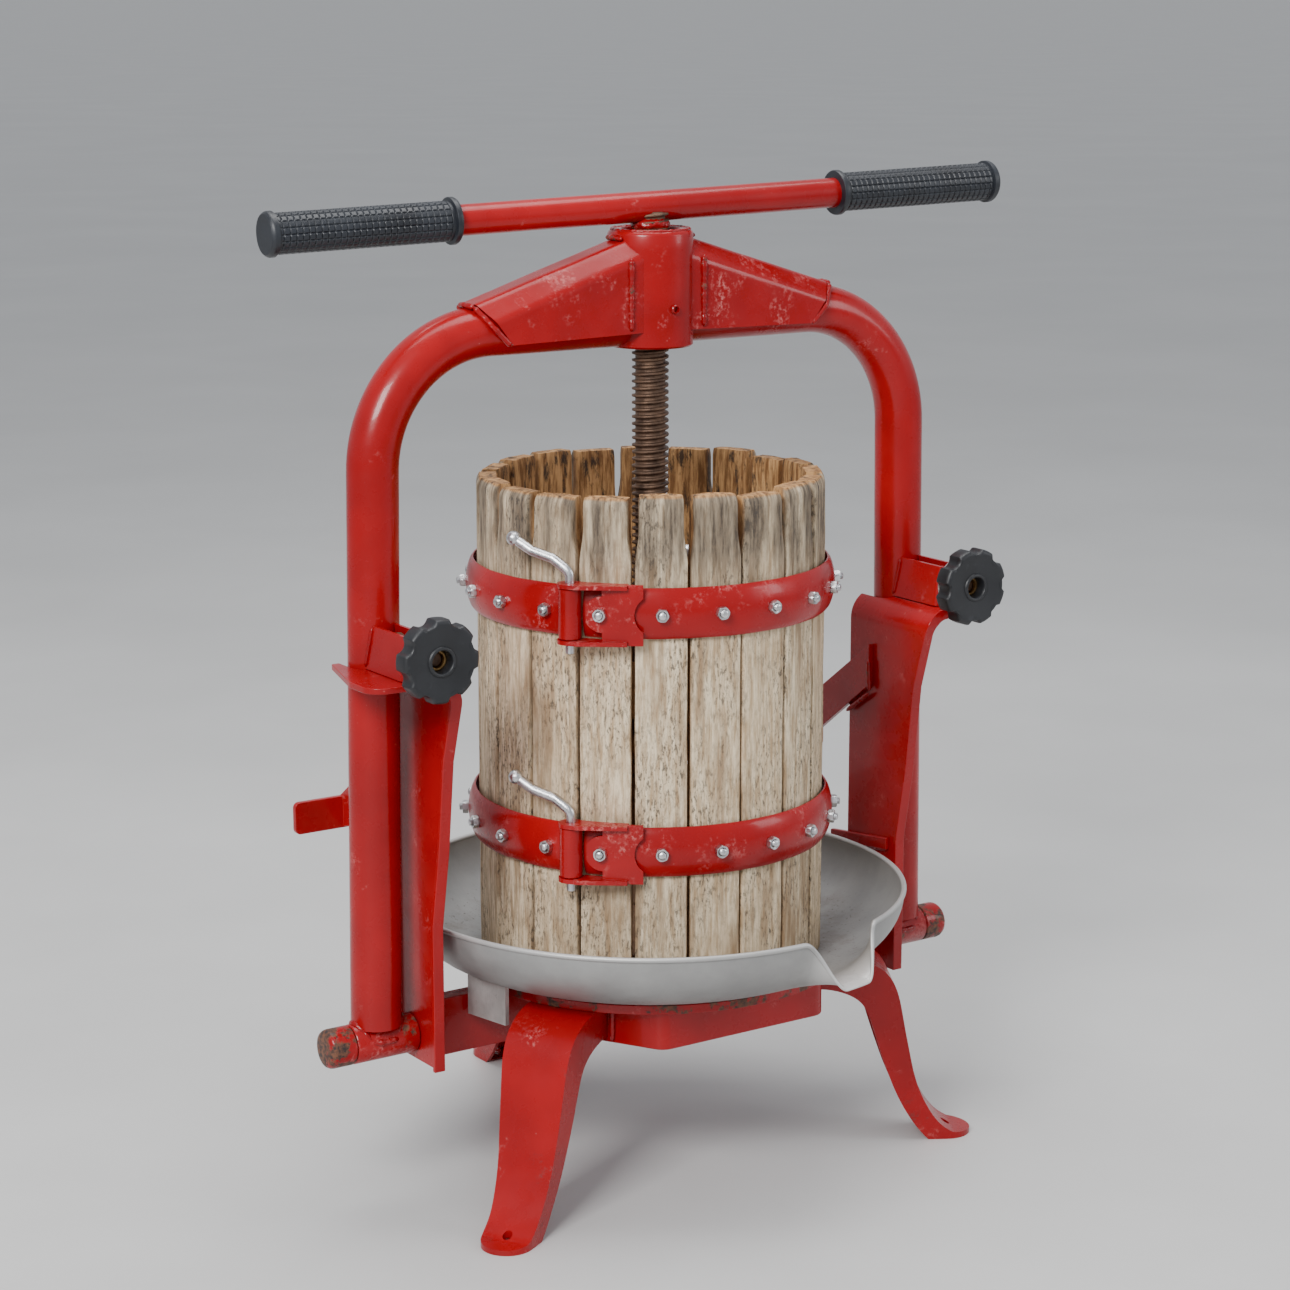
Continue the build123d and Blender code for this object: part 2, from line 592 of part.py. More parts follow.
def screw():
    """Press screw at its major diameter, with a spigot for the foot."""
    top = HANDLE_Z - 4.0
    body = Pos(0, 0, (FOOT_TOP + 0.2 + top) / 2) * Cylinder(SCREW_RADIUS, top - FOOT_TOP - 0.2)
    body += Pos(0, 0, (SCREW_BOTTOM + FOOT_TOP + 1) / 2) * Cylinder(SPIGOT_RADIUS, FOOT_TOP + 1 - SCREW_BOTTOM)
    return body - handle_place() * Rot(0, 90, 0) * Cylinder(HANDLE_RADIUS, 100)


def handle_bar():
    """Tube welded across the top of the screw."""
    bar = tube_along(Plane((-HANDLE_HALF_LENGTH, 0, 0), z_dir=(1, 0, 0)), HANDLE_RADIUS, HANDLE_RADIUS - 2.5,
                     2 * HANDLE_HALF_LENGTH)
    return handle_place() * bar


def hand_grip(side):
    """Grip sleeve with a closed outer end and a collar at each end."""
    start = GRIP_END - GRIP_LENGTH
    grip = rod((start, 0, 0), (1, 0, 0), GRIP_RADIUS, GRIP_LENGTH)
    grip += rod((start, 0, 0), (1, 0, 0), GRIP_RADIUS + 3.0, 5.0)
    grip += rod((GRIP_END - 7.0, 0, 0), (1, 0, 0), GRIP_RADIUS + 2.0, 7.0)
    grip -= rod((start - 1, 0, 0), (1, 0, 0), HANDLE_RADIUS + 0.05, HANDLE_HALF_LENGTH - start + 1.0)
    if side < 0:
        grip = mirrored(grip)
    return handle_place() * grip


# ---------------------------------------------------------------- yoke locks
def lock_block(inset, spare):
    """Solid block that flares downwards in front of the yoke arm, as the bracket's outside or inside."""
    flare = (LOCK_HALF_BOTTOM - LOCK_HALF_TOP) / (LOCK_TOP - LOCK_BOTTOM)
    sections = []
    for z in (LOCK_BOTTOM - spare, LOCK_TOP + spare):
        half = LOCK_HALF_TOP + flare * (LOCK_TOP - z) - inset
        depth = -LOCK_FRONT - inset
        outline = RectangleRounded(2 * half, depth, 5.0 - inset)
        sections.append(Plane.XY.offset(z) * Pos(LOCK_X, -depth / 2) * outline)
    return loft(sections, ruled=True)


def lock_bracket():
    """Bent channel on the front of the yoke arm, with a slot for the lock bolt in its closed front."""
    shell = lock_block(0, 0) - lock_block(LOCK_SHEET, 1.0)
    shell -= Pos(LOCK_X, 0, LOCK_Z) * Cylinder(TUBE_RADIUS + 0.3, 200)
    slot = STUD_RADIUS + 0.4
    shell -= box_between((LOCK_X - slot, -90, 481.5), (LOCK_X + slot, -60, 520))
    return shell - rod((LOCK_X - LOCK_PIN_HALF, LOCK_PIVOT_Y, LOCK_Z), (1, 0, 0), 4.0, 2 * LOCK_PIN_HALF)


def lock_pin():
    """Cross pin inside the bracket, on which the lock bolt swings."""
    return rod((LOCK_X - LOCK_PIN_HALF, LOCK_PIVOT_Y, LOCK_Z), (1, 0, 0), 4.0, 2 * LOCK_PIN_HALF)


def lock_bolt():
    """Eye bolt that swings up through the bracket's slot."""
    eye = rod((LOCK_X - 7.5, LOCK_PIVOT_Y, LOCK_Z), (1, 0, 0), 9.5, 15.0)
    stud = rod((LOCK_X, LOCK_PIVOT_Y, LOCK_Z), (0, -1, 0), STUD_RADIUS, LOCK_PIVOT_Y - STUD_END)
    return eye + stud - rod((LOCK_X - 20, LOCK_PIVOT_Y, LOCK_Z), (1, 0, 0), 4.05, 40)


def lock_washer():
    """Wide washer between the knob and the shelf's front edge."""
    plane = Plane((LOCK_X, KNOB_BACK + 0.1, LOCK_Z), z_dir=(0, 1, 0))
    return tube_along(plane, 24.0, STUD_RADIUS + 0.2, 2.5)


def lock_knob(turn):
    """Lobed hand knob, turned by an angle about its bore."""
    depth = KNOB_RIM_BACK - KNOB_FACE
    knob = rod((LOCK_X, KNOB_RIM_BACK, LOCK_Z), (0, -1, 0), KNOB_RADIUS, depth)
    for k in range(KNOB_LOBES):
        angle = math.radians(turn + k * 360.0 / KNOB_LOBES)
        x = LOCK_X + KNOB_NOTCH_CIRCLE * math.cos(angle)
        z = LOCK_Z + KNOB_NOTCH_CIRCLE * math.sin(angle)
        knob -= rod((x, KNOB_RIM_BACK + 1, z), (0, -1, 0), KNOB_NOTCH_RADIUS, depth + 2)
    knob += rod((LOCK_X, KNOB_BACK, LOCK_Z), (0, -1, 0), KNOB_BOSS_RADIUS, KNOB_BACK - KNOB_RIM_BACK)
    return knob - rod((LOCK_X, KNOB_BACK + 1, LOCK_Z), (0, -1, 0), INSERT_RADIUS, 40)


def knob_insert():
    """Brass insert in the knob, threaded on the bolt."""
    plane = Plane((LOCK_X, KNOB_BACK, LOCK_Z), z_dir=(0, -1, 0))
    return tube_along(plane, INSERT_RADIUS, STUD_RADIUS + 0.05, 13.0)


# ---------------------------------------------------------------- export
def build_all():
    """Every node of the press by name."""
    nodes = {
        "staves_front": half_staves(0),
        "staves_back": half_staves(STAVE_COUNT // 2),
        "hoop_bolts": hoop_bolts(),
        "hoop_nuts": hoop_nuts(),
        "tray": tray(),
        "tray_lugs": Compound([tray_lug(), turned(tray_lug(), 180)]),
        "base_disc": disc(),
        "base_beam": beam(),
        "base_skirt_front": skirt(True),
        "base_skirt_back": skirt(False),
        "hub": hub(),
        "hub_nut": hub_nut(),
        "nut_lock_screw": nut_lock_screw(),
        "thrust_foot": thrust_foot(),
        "screw": screw(),
        "handle_bar": handle_bar(),
        "hand_grip_left": hand_grip(-1),
        "hand_grip_right": hand_grip(1),
        "pivot_pins": Compound([pivot_pin(), mirrored(pivot_pin())]),
        "lock_pins": Compound([lock_pin(), mirrored(lock_pin())]),
        "press_board_left": press_board(-1),
        "press_board_right": press_board(1),
    }
    for level, z in HOOP_HEIGHTS.items():
        for first, place in enumerate(("front", "back")):
            nodes[f"hoop_{level}_{place}"] = half_hoop(z, first)
            nodes[f"hoop_clamp_{level}_{place}"] = hoop_clamp(z, first)
            nodes[f"hoop_pin_{level}_{place}"] = hoop_pin(z, first)
    for name, angle in LEG_ANGLES.items():
        nodes[f"leg_{name}"] = leg(angle)
    pairs = {
        "post": post(),
        "stop_arm": stop_arm(),
        "side_rail": side_rail(),
        "pivot_sleeve": pivot_sleeve(),
        "yoke_arm": yoke_arm(),
        "gusset": gusset(),
        "lock_bracket": lock_bracket(),
        "lock_bolt": lock_bolt(),
        "lock_washer": lock_washer(),
        "knob_insert": knob_insert(),
    }
    nodes["lock_knob_right"] = lock_knob(KNOB_TURNS["right"])
    nodes["lock_knob_left"] = mirrored(lock_knob(KNOB_TURNS["left"]))
    for name, shape in pairs.items():
        nodes[f"{name}_right"] = shape
        nodes[f"{name}_left"] = mirrored(shape)
    return nodes


os.makedirs("parts", exist_ok=True)
for node_name, node_shape in build_all().items():
    export_step(node_shape, f"parts/{node_name}.step")
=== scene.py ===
import math
import random

import bmesh
import bpy
from mathutils import Matrix, Vector, noise


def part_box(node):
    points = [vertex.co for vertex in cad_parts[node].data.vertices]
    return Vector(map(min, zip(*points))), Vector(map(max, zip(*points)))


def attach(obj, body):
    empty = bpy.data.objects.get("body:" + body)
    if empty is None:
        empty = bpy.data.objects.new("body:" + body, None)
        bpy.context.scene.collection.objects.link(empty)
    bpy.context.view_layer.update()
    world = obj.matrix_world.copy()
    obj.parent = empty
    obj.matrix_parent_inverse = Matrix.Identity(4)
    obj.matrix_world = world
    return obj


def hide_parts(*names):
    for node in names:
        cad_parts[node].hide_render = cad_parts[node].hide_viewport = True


MM = 0.001
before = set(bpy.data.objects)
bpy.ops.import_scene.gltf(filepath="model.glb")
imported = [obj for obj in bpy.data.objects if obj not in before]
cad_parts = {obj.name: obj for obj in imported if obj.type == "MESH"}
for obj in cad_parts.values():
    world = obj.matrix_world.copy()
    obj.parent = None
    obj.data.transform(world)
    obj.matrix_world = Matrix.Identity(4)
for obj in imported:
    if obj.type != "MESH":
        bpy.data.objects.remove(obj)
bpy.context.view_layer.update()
rng = random.Random(7)

# ---------------------------------------------------------------- sizes in millimetres, angles in degrees
STAVES = 20
STAVE_STEP = 360.0 / STAVES
SPLIT_ANGLE = -147.5
BASKET_BOTTOM = 183.0
BASKET_HEIGHT = 420.0
STAVE_FACE = 148.4
STAVE_DEPTH = 18.0
STAVE_HALF = 21.7
STAVE_NARROWING = 3.1
SHOULDER = 363.0
SHOULDER_RUN = 30.0
HOOP_Z = {"upper": 508.0, "lower": 308.0}
HOOP_HALF = 20.9
HOOP_EDGE = 150.2
HOOP_CROWN = 4.8
HOOP_SHEET = 3.0
CLAMP_OUTSIDE = 161.6
PIN_CIRCLE = 163.0
EYE_BORE = 4.4
BALL_RADIUS = 6.0
TRAY_RADIUS = 222.0
TRAY_RIM = 238.0
TRAY_FLOOR = 181.0
TRAY_CORNER_WIDTH = 71.0
TRAY_CORNER_HEIGHT = 54.0
SPOUT_ANGLE = -77.5
SPOUT_FLAT = 3.2
SPOUT_FLARE = 8.8
SPOUT_ROOT = 187.0
SPOUT_REACH = 15.4
SPOUT_DROP = 41.0
TUBE_RADIUS = 21.2
TUBE_BEND = 108.0
HUB_RADIUS = 36.0
SLEEVE_RADIUS = 16.7
GUSSET_POINTS = 72
GUSSET_SHEET = 3.0
SCREW_PITCH = 6.0
SCREW_FOOT = 470.5
BAR_RADIUS = 12.7
BAR_HALF = 340.0
GRIP_START = 182.0
RIBS_START = 190.0
RIBS_END = 338.0
RIB_PITCH = 5.4
RIB_DEPTH = 0.95
KNOB_RADIUS = 34.0
NOTCH_CIRCLE = 37.7
NOTCH_RADIUS = 7.9
POST_FACE = 235.0


# ---------------------------------------------------------------- material helpers
class Paint:
    """Short way to write a node material: each method adds a node and returns its output."""

    def __init__(self, name):
        self.material = bpy.data.materials.new(name)
        self.material.use_nodes = True
        self.tree = self.material.node_tree
        self.tree.nodes.clear()
        self.out = self.add("ShaderNodeOutputMaterial")
        self.shader = self.add("ShaderNodeBsdfPrincipled")
        self.tree.links.new(self.shader.outputs[0], self.out.inputs[0])
        self.place = self.add("ShaderNodeTexCoord").outputs["Object"]

    def add(self, kind, ins=None, **settings):
        made = self.tree.nodes.new(kind)
        for key, value in settings.items():
            setattr(made, key, value)
        for key, value in (ins or {}).items():
            self.put(made.inputs[key], value)
        return made

    def put(self, socket, value):
        if isinstance(value, bpy.types.NodeSocket):
            self.tree.links.new(value, socket)
        elif isinstance(value, tuple) and len(value) == 3 and socket.type == "RGBA":
            socket.default_value = (*value, 1.0)
        else:
            socket.default_value = value

    def stretch(self, scale, source=None):
        made = self.add("ShaderNodeMapping", {"Vector": source or self.place, "Scale": scale})
        return made.outputs[0]

    def noise(self, scale, detail=6.0, rough=0.6, at=None):
        ins = {"Vector": at or self.place, "Scale": scale, "Detail": detail, "Roughness": rough}
        return self.add("ShaderNodeTexNoise", ins).outputs["Fac"]

    def cells(self, scale):
        return self.add("ShaderNodeTexVoronoi", {"Vector": self.place, "Scale": scale}).outputs["Distance"]

    def span(self, value, low, high, to_low=0.0, to_high=1.0):
        ins = {"Value": value, "From Min": low, "From Max": high, "To Min": to_low, "To Max": to_high}
        return self.add("ShaderNodeMapRange", ins).outputs[0]

    def calc(self, operation, first, second=0.0):
        return self.add("ShaderNodeMath", {0: first, 1: second}, operation=operation).outputs[0]

    def blend(self, factor, first, second):
        made = self.add("ShaderNodeMix", data_type="RGBA")
        self.put(made.inputs["Factor"], factor)
        self.put(made.inputs["A"], first)
        self.put(made.inputs["B"], second)
        return made.outputs["Result"]

    def part(self, axis):
        split = self.add("ShaderNodeSeparateXYZ", {0: self.place})
        return split.outputs[axis]

    def attribute(self, name, output="Vector"):
        return self.add("ShaderNodeAttribute", attribute_name=name).outputs[output]

    def edges(self, low=0.52, high=0.6):
        return self.span(self.add("ShaderNodeNewGeometry").outputs["Pointiness"], low, high)

    def finish(self, colour, roughness, height=None, depth=0.0004, **extra):
        self.put(self.shader.inputs["Base Color"], colour)
        self.put(self.shader.inputs["Roughness"], roughness)
        for key, value in extra.items():
            self.put(self.shader.inputs[key.replace("_", " ")], value)
        if height is not None:
            made = self.add("ShaderNodeBump", {"Height": height, "Distance": depth, "Strength": 0.6})
            self.put(self.shader.inputs["Normal"], made.outputs[0])
        return self.material


def red_paint(name, scuffs=0.3, chips=0.3, rust=0.0, shade=1.0):
    """Gloss red paint with pink scuffs, dark chips and rusty patches."""
    p = Paint(name)
    broad = p.noise(9.0, 3.0)
    fine = p.noise(260.0, 4.0, 0.7)
    deep = (0.25 * shade, 0.0012, 0.0030)
    bright = (0.35 * shade, 0.0020, 0.0045)
    base = p.blend(p.span(broad, 0.35, 0.65), deep, bright)
    drift = p.noise(28.0, 5.0, 0.65)
    scuff_place = p.span(drift, 0.66 - 0.16 * scuffs, 0.80 - 0.16 * scuffs)
    scuff_grain = p.span(fine, 0.50, 0.62)
    scuff = p.calc("MULTIPLY", p.calc("MULTIPLY", scuff_place, scuff_grain), 0.85)
    colour = p.blend(scuff, base, (0.56, 0.15, 0.14))
    dots = p.span(p.cells(150.0), 0.11, 0.03)
    dot_place = p.span(p.noise(17.0, 4.0), 0.62 - 0.12 * chips, 0.68 - 0.12 * chips)
    pale_dots = p.calc("MULTIPLY", dots, dot_place)
    colour = p.blend(p.calc("MULTIPLY", pale_dots, 0.6), colour, (0.60, 0.22, 0.20))
    ragged = p.noise(150.0, 8.0, 0.75)
    chip_place = p.span(p.noise(13.0, 3.0), 0.58 - 0.12 * chips, 0.66 - 0.12 * chips)
    chip = p.calc("MULTIPLY", p.span(ragged, 0.73 - 0.06 * chips, 0.75 - 0.06 * chips), chip_place)
    worn_edge = p.calc("MULTIPLY", p.edges(0.56, 0.66), p.span(ragged, 0.52, 0.60))
    chip = p.calc("MAXIMUM", chip, p.calc("MULTIPLY", worn_edge, 0.8 * chips + 0.1))
    colour = p.blend(chip, colour, (0.055, 0.030, 0.026))
    if rust > 0:
        patch = p.span(p.noise(38.0, 7.0, 0.7), 0.60 - 0.14 * rust, 0.64 - 0.14 * rust)
        rusty = p.blend(p.span(fine, 0.4, 0.6), (0.030, 0.022, 0.020), (0.16, 0.065, 0.035))
        colour = p.blend(patch, colour, rusty)
        chip = p.calc("MAXIMUM", chip, patch)
    rough = p.span(p.noise(34.0, 5.0), 0.3, 0.7, 0.20, 0.36)
    rough = p.calc("ADD", rough, p.calc("MULTIPLY", p.calc("MAXIMUM", chip, scuff), 0.38))
    ripple = p.calc("ADD", p.calc("MULTIPLY", p.noise(60.0, 3.0), 0.5), p.calc("MULTIPLY", chip, -0.6))
    return p.finish(colour, rough, ripple, 0.0005,
                    Specular_IOR_Level=0.26, Coat_Weight=0.16, Coat_Roughness=0.06)


def wood(name):
    """Bleached oak: vertical grain, black specks, greyer tops and orange-brown inner faces.

    It reads each stave's own place from "grain", in metres: across, inwards and up.
    """
    p = Paint(name)
    local = p.attribute("grain")
    tone = p.attribute("tone", "Fac")
    split = p.add("ShaderNodeSeparateXYZ", {0: local})
    depth = split.outputs[1]
    along = split.outputs[2]
    streak = p.noise(1.0, 8.0, 0.66, p.stretch((260.0, 90.0, 26.0), local))
    broad = p.noise(1.0, 4.0, 0.55, p.stretch((60.0, 30.0, 7.0), local))
    fibre = p.noise(1.0, 5.0, 0.7, p.stretch((1500.0, 400.0, 60.0), local))
    pale = p.blend(p.span(streak, 0.38, 0.60), (0.42, 0.29, 0.165), (0.83, 0.69, 0.49))
    pale = p.blend(p.span(tone, 0.0, 1.0, 0.0, 0.40), pale, (0.56, 0.40, 0.23))
    pale = p.blend(p.span(broad, 0.49, 0.66, 0.0, 0.80), pale, (0.27, 0.165, 0.085))
    near_top = p.span(along, 0.33, 0.375, 0.0, 1.0)
    grey_at = p.calc("MULTIPLY", near_top, p.span(broad, 0.36, 0.54, 0.30, 1.0))
    grey = p.blend(p.span(streak, 0.40, 0.64), (0.050, 0.040, 0.032), (0.27, 0.21, 0.145))
    colour = p.blend(p.calc("MULTIPLY", grey_at, 0.92), pale, grey)
    foot_at = p.calc("MULTIPLY", p.span(along, 0.035, 0.0, 0.0, 0.6), p.span(streak, 0.3, 0.7))
    colour = p.blend(foot_at, colour, (0.18, 0.13, 0.09))
    speck = p.noise(1.0, 7.0, 0.74, p.stretch((420.0, 260.0, 130.0), local))
    cluster = p.noise(1.0, 3.0, 0.5, p.stretch((38.0, 20.0, 9.0), local))
    speck_at = p.calc("MULTIPLY", p.span(speck, 0.525, 0.585), p.span(cluster, 0.40, 0.58))
    mottle = p.noise(1.0, 9.0, 0.78, p.stretch((150.0, 90.0, 70.0), local))
    colour = p.blend(p.span(mottle, 0.50, 0.66, 0.0, 0.55), colour, (0.24, 0.165, 0.10))
    colour = p.blend(p.calc("MULTIPLY", speck_at, 0.80), colour, (0.060, 0.050, 0.042))
    line_at = p.span(fibre, 0.58, 0.70, 0.0, 0.50)
    colour = p.blend(line_at, colour, (0.12, 0.085, 0.055))
    inner = p.blend(p.span(streak, 0.40, 0.60), (0.17, 0.075, 0.024), (0.52, 0.29, 0.12))
    stain = p.noise(1.0, 6.0, 0.7, p.stretch((90.0, 60.0, 26.0), local))
    inner = p.blend(p.span(stain, 0.54, 0.62, 0.0, 0.9), inner, (0.030, 0.020, 0.015))
    inside_at = p.calc("MAXIMUM", p.span(depth, 0.004, 0.009), p.span(along, 0.4175, 0.4195))
    colour = p.blend(inside_at, colour, inner)
    height = p.calc("ADD", p.calc("MULTIPLY", fibre, 0.5), p.calc("MULTIPLY", streak, 0.8))
    height = p.calc("SUBTRACT", height, p.calc("MULTIPLY", speck_at, 0.5))
    return p.finish(colour, p.span(streak, 0.3, 0.7, 0.62, 0.82), height, 0.0013, Specular_IOR_Level=0.3)


def metal(name, dark, light, low, high, scale=60.0, dirt=0.2, metallic=1.0, bump=0.0003):
    """Bare metal with tarnish and fine scratches."""
    p = Paint(name)
    broad = p.noise(scale, 6.0, 0.65)
    scratch = p.noise(1.0, 4.0, 0.6, p.stretch((900.0, 900.0, 60.0)))
    colour = p.blend(p.span(broad, 0.35, 0.65), dark, light)
    colour = p.blend(p.span(scratch, 0.55, 0.75, 0.0, 0.35), colour, tuple(0.6 * c for c in dark))
    stain = p.span(p.noise(scale * 2.3, 8.0, 0.75), 0.68 - 0.1 * dirt, 0.74 - 0.1 * dirt, 0.0, 0.9)
    colour = p.blend(stain, colour, (0.07, 0.05, 0.035))
    rough = p.calc("ADD", p.span(broad, 0.3, 0.7, low, high), p.calc("MULTIPLY", stain, 0.3))
    return p.finish(colour, rough, p.calc("ADD", broad, scratch), bump, Metallic=metallic)


def tray_metal(name):
    """Dull grey pressed steel, stained inside near the basket, with a painted highlight along the rim and at
    the spout lip.
    """
    p = Paint(name)
    broad = p.noise(14.0, 6.0, 0.6)
    fine = p.noise(300.0, 3.0, 0.6)
    colour = p.blend(p.span(broad, 0.35, 0.65), (0.27, 0.268, 0.262), (0.37, 0.366, 0.358))
    # painted highlight: the band at the rim's height is lightened towards pale grey
    rim = p.span(p.part(2), 0.2345, 0.2385)
    colour = p.blend(p.calc("MULTIPLY", rim, 0.5), colour, (0.62, 0.61, 0.59))
    # painted highlight: a pale round spot centred on the spout lip
    lip_x = p.calc("SUBTRACT", p.part(0), 0.050)
    lip_y = p.calc("ADD", p.part(1), 0.226)
    lip = p.calc("ADD", p.calc("MULTIPLY", lip_x, lip_x), p.calc("MULTIPLY", lip_y, lip_y))
    colour = p.blend(p.span(lip, 0.0016, 0.0003, 0.0, 0.75), colour, (0.72, 0.71, 0.69))
    low = p.span(p.part(2), 0.205, 0.186)
    speck = p.span(p.noise(230.0, 6.0, 0.75), 0.585, 0.66)
    colour = p.blend(p.calc("MULTIPLY", p.calc("MULTIPLY", speck, low), 0.85), colour, (0.075, 0.050, 0.035))
    stain = p.span(p.noise(30.0, 6.0, 0.7), 0.50, 0.68, 0.0, 0.4)
    colour = p.blend(p.calc("MULTIPLY", stain, low), colour, (0.16, 0.12, 0.09))
    rough = p.span(broad, 0.3, 0.7, 0.42, 0.56)
    return p.finish(colour, rough, p.calc("ADD", broad, fine), 0.0002, Metallic=0.55)


def moulded(name, dark, light, low, high, speckle=140.0):
    """Moulded plastic or rubber with dust and a grained surface."""
    p = Paint(name)
    broad = p.noise(25.0, 5.0)
    grain = p.noise(1400.0, 3.0, 0.6)
    colour = p.blend(p.span(broad, 0.35, 0.65), dark, light)
    dust = p.span(p.noise(speckle, 7.0, 0.7), 0.60, 0.75, 0.0, 0.35)
    colour = p.blend(dust, colour, tuple(3.2 * c + 0.02 for c in light))
    rub = p.calc("MULTIPLY", p.edges(0.54, 0.64), 0.35)
    colour = p.blend(rub, colour, tuple(2.4 * c + 0.01 for c in light))
    return p.finish(colour, p.span(broad, 0.3, 0.7, low, high), grain, 0.00012)


MATERIAL = {
    "frame": red_paint("red_frame", 0.35, 0.35),
    "yoke": red_paint("red_yoke", 0.30, 0.30),
    "gusset": red_paint("red_gusset", 0.75, 0.45, 0.0),
    "hub": red_paint("red_hub", 0.60, 0.45),
    "hoop": red_paint("red_hoop", 0.75, 0.60),
    "clamp": red_paint("red_clamp", 1.35, 0.9),
    "cap": red_paint("red_cap", 0.6, 0.8, 0.35),
    "cap_end": red_paint("red_cap_end", 0.6, 0.9, 1.0),
    "disc": red_paint("red_disc", 0.5, 0.9, 0.45),
    "leg": red_paint("red_leg", 0.35, 0.45),
    "bar": red_paint("red_bar", 0.2, 0.2),
    "weld": red_paint("red_weld", 0.5, 0.7, 0.1, 0.85),
    "wood": wood("oak"),
    "tray": tray_metal("tray_steel"),
    "lug": metal("lug_steel", (0.44, 0.43, 0.41), (0.62, 0.61, 0.59), 0.34, 0.50, 40.0, 0.4, 0.6),
    "zinc": metal("zinc", (0.50, 0.50, 0.51), (0.72, 0.72, 0.73), 0.24, 0.42, 120.0, 0.35),
    "screw": metal("rusty_steel", (0.075, 0.045, 0.032), (0.19, 0.115, 0.075),
                   0.38, 0.62, 90.0, 0.8, 0.75, 0.0006),
    "brass": metal("brass", (0.26, 0.15, 0.06), (0.45, 0.28, 0.11), 0.30, 0.50, 160.0, 0.8),
    "knob": moulded("charcoal_plastic", (0.006, 0.0065, 0.008), (0.012, 0.013, 0.016), 0.40, 0.56),
    "grip": moulded("grip_rubber", (0.006, 0.007, 0.010), (0.013, 0.016, 0.022), 0.34, 0.50),
    "board": metal("stained_board", (0.14, 0.07, 0.035), (0.30, 0.17, 0.09),
                   0.6, 0.8, 30.0, 0.5, 0.0, 0.0008),
}


# ---------------------------------------------------------------- mesh helpers, in millimetres
def piece(name, verts, faces, material, body, slot, replaces=(), smooth=40.0):
    """New mesh from points in millimetres, riding on a CAD body."""
    mesh = bpy.data.meshes.new(name)
    mesh.from_pydata([[c * MM for c in v] for v in verts], [], faces)
    made = bpy.data.objects.new(name, mesh)
    bpy.context.scene.collection.objects.link(made)
    mesh.materials.append(MATERIAL[material])
    soften(mesh, smooth)
    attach(made, body)
    if replaces:
        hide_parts(*replaces)
    return made


def soften(mesh, limit):
    """Smooth shading with sharp edges above an angle."""
    work = bmesh.new()
    work.from_mesh(mesh)
    bmesh.ops.recalc_face_normals(work, faces=work.faces)
    for face in work.faces:
        face.smooth = True
    for edge in work.edges:
        edge.smooth = len(edge.link_faces) == 2 and edge.calc_face_angle(0.0) < math.radians(limit)
    work.to_mesh(mesh)
    work.free()


def grid_faces(rows, columns, wrap_rows=False):
    """Quads of a grid of points, row after row, each row closed into a ring."""
    faces = []
    for i in range(rows if wrap_rows else rows - 1):
        for j in range(columns):
            k = (j + 1) % columns
            n = (i + 1) % rows
            faces.append((i * columns + j, i * columns + k, n * columns + k, n * columns + j))
    return faces


def last_row(rows, columns):
    """One face over the last row of a grid."""
    return tuple((rows - 1) * columns + j for j in range(columns))


def first_row(columns):
    """One face over the first row of a grid."""
    return tuple(range(columns - 1, -1, -1))


def closed_grid(rows, columns):
    """Quads of a grid of points, with a face over each end."""
    return grid_faces(rows, columns) + [first_row(columns), last_row(rows, columns)]


def turns(steps):
    """Equal angles round a circle, in radians."""
    return [2 * math.pi * j / steps for j in range(steps)]


def polar(radius, turn, height):
    """Point at a radius, an angle in radians and a height."""
    return radius * math.cos(turn), radius * math.sin(turn), height


def lathe(profile, place=Matrix.Identity(4), steps=96, caps=True):
    """Points and faces of a profile (radius, height) turned about the place's Z axis."""
    verts = []
    for radius, height in profile:
        verts += [place @ Vector(polar(radius, turn, height)) for turn in turns(steps)]
    return verts, (closed_grid if caps else grid_faces)(len(profile), steps)


def frames_along(points, closed=False):
    """Unit directions and steady side vectors along a path."""
    count = len(points)
    ways = []
    for i in range(count):
        before = points[i - 1] if closed or i else points[0]
        after = points[(i + 1) % count] if closed or i < count - 1 else points[-1]
        ways.append((after - before).normalized())
    side = ways[0].orthogonal().normalized()
    sides = []
    for way in ways:
        side = (side - way * side.dot(way)).normalized()
        sides.append(side.copy())
    return ways, sides


def tube(points, radii, steps=32, closed=False):
    """Points and faces of a round tube along a path, with a radius at each point."""
    points = [Vector(p) for p in points]
    if not isinstance(radii, (list, tuple)):
        radii = [radii] * len(points)
    ways, sides = frames_along(points, closed)
    verts = []
    for point, way, side, radius in zip(points, ways, sides, radii):
        other = way.cross(side)
        for turn in turns(steps):
            verts.append(point + radius * (math.cos(turn) * side + math.sin(turn) * other))
    if closed:
        return verts, grid_faces(len(points), steps, wrap_rows=True)
    return verts, closed_grid(len(points), steps)


def rounded_path(corners, radius, step=2.0):
    """Polyline with its corners rounded, as closely spaced points."""
    corners = [Vector(c) for c in corners]
    points = [corners[0]]
    for before, corner, after in zip(corners, corners[1:], corners[2:]):
        back = (before - corner).normalized()
        on = (after - corner).normalized()
        half = back.angle(on) / 2
        reach = radius / math.tan(half)
        centre = corner + (back + on).normalized() * (radius / math.sin(half))
        first = (corner + back * reach - centre).normalized()
        last = (corner + on * reach - centre).normalized()
        count = max(3, int(first.angle(last) * radius / step))
        points += [centre + radius * first.slerp(last, i / count) for i in range(count + 1)]
    points.append(corners[-1])
    return dense(points, step)


def dense(points, step):
    """Same path with points no further apart than a step."""
    out = [points[0]]
    for a, b in zip(points, points[1:]):
        count = max(1, math.ceil((b - a).length / step))
        out += [a.lerp(b, i / count) for i in range(1, count + 1)]
    return out


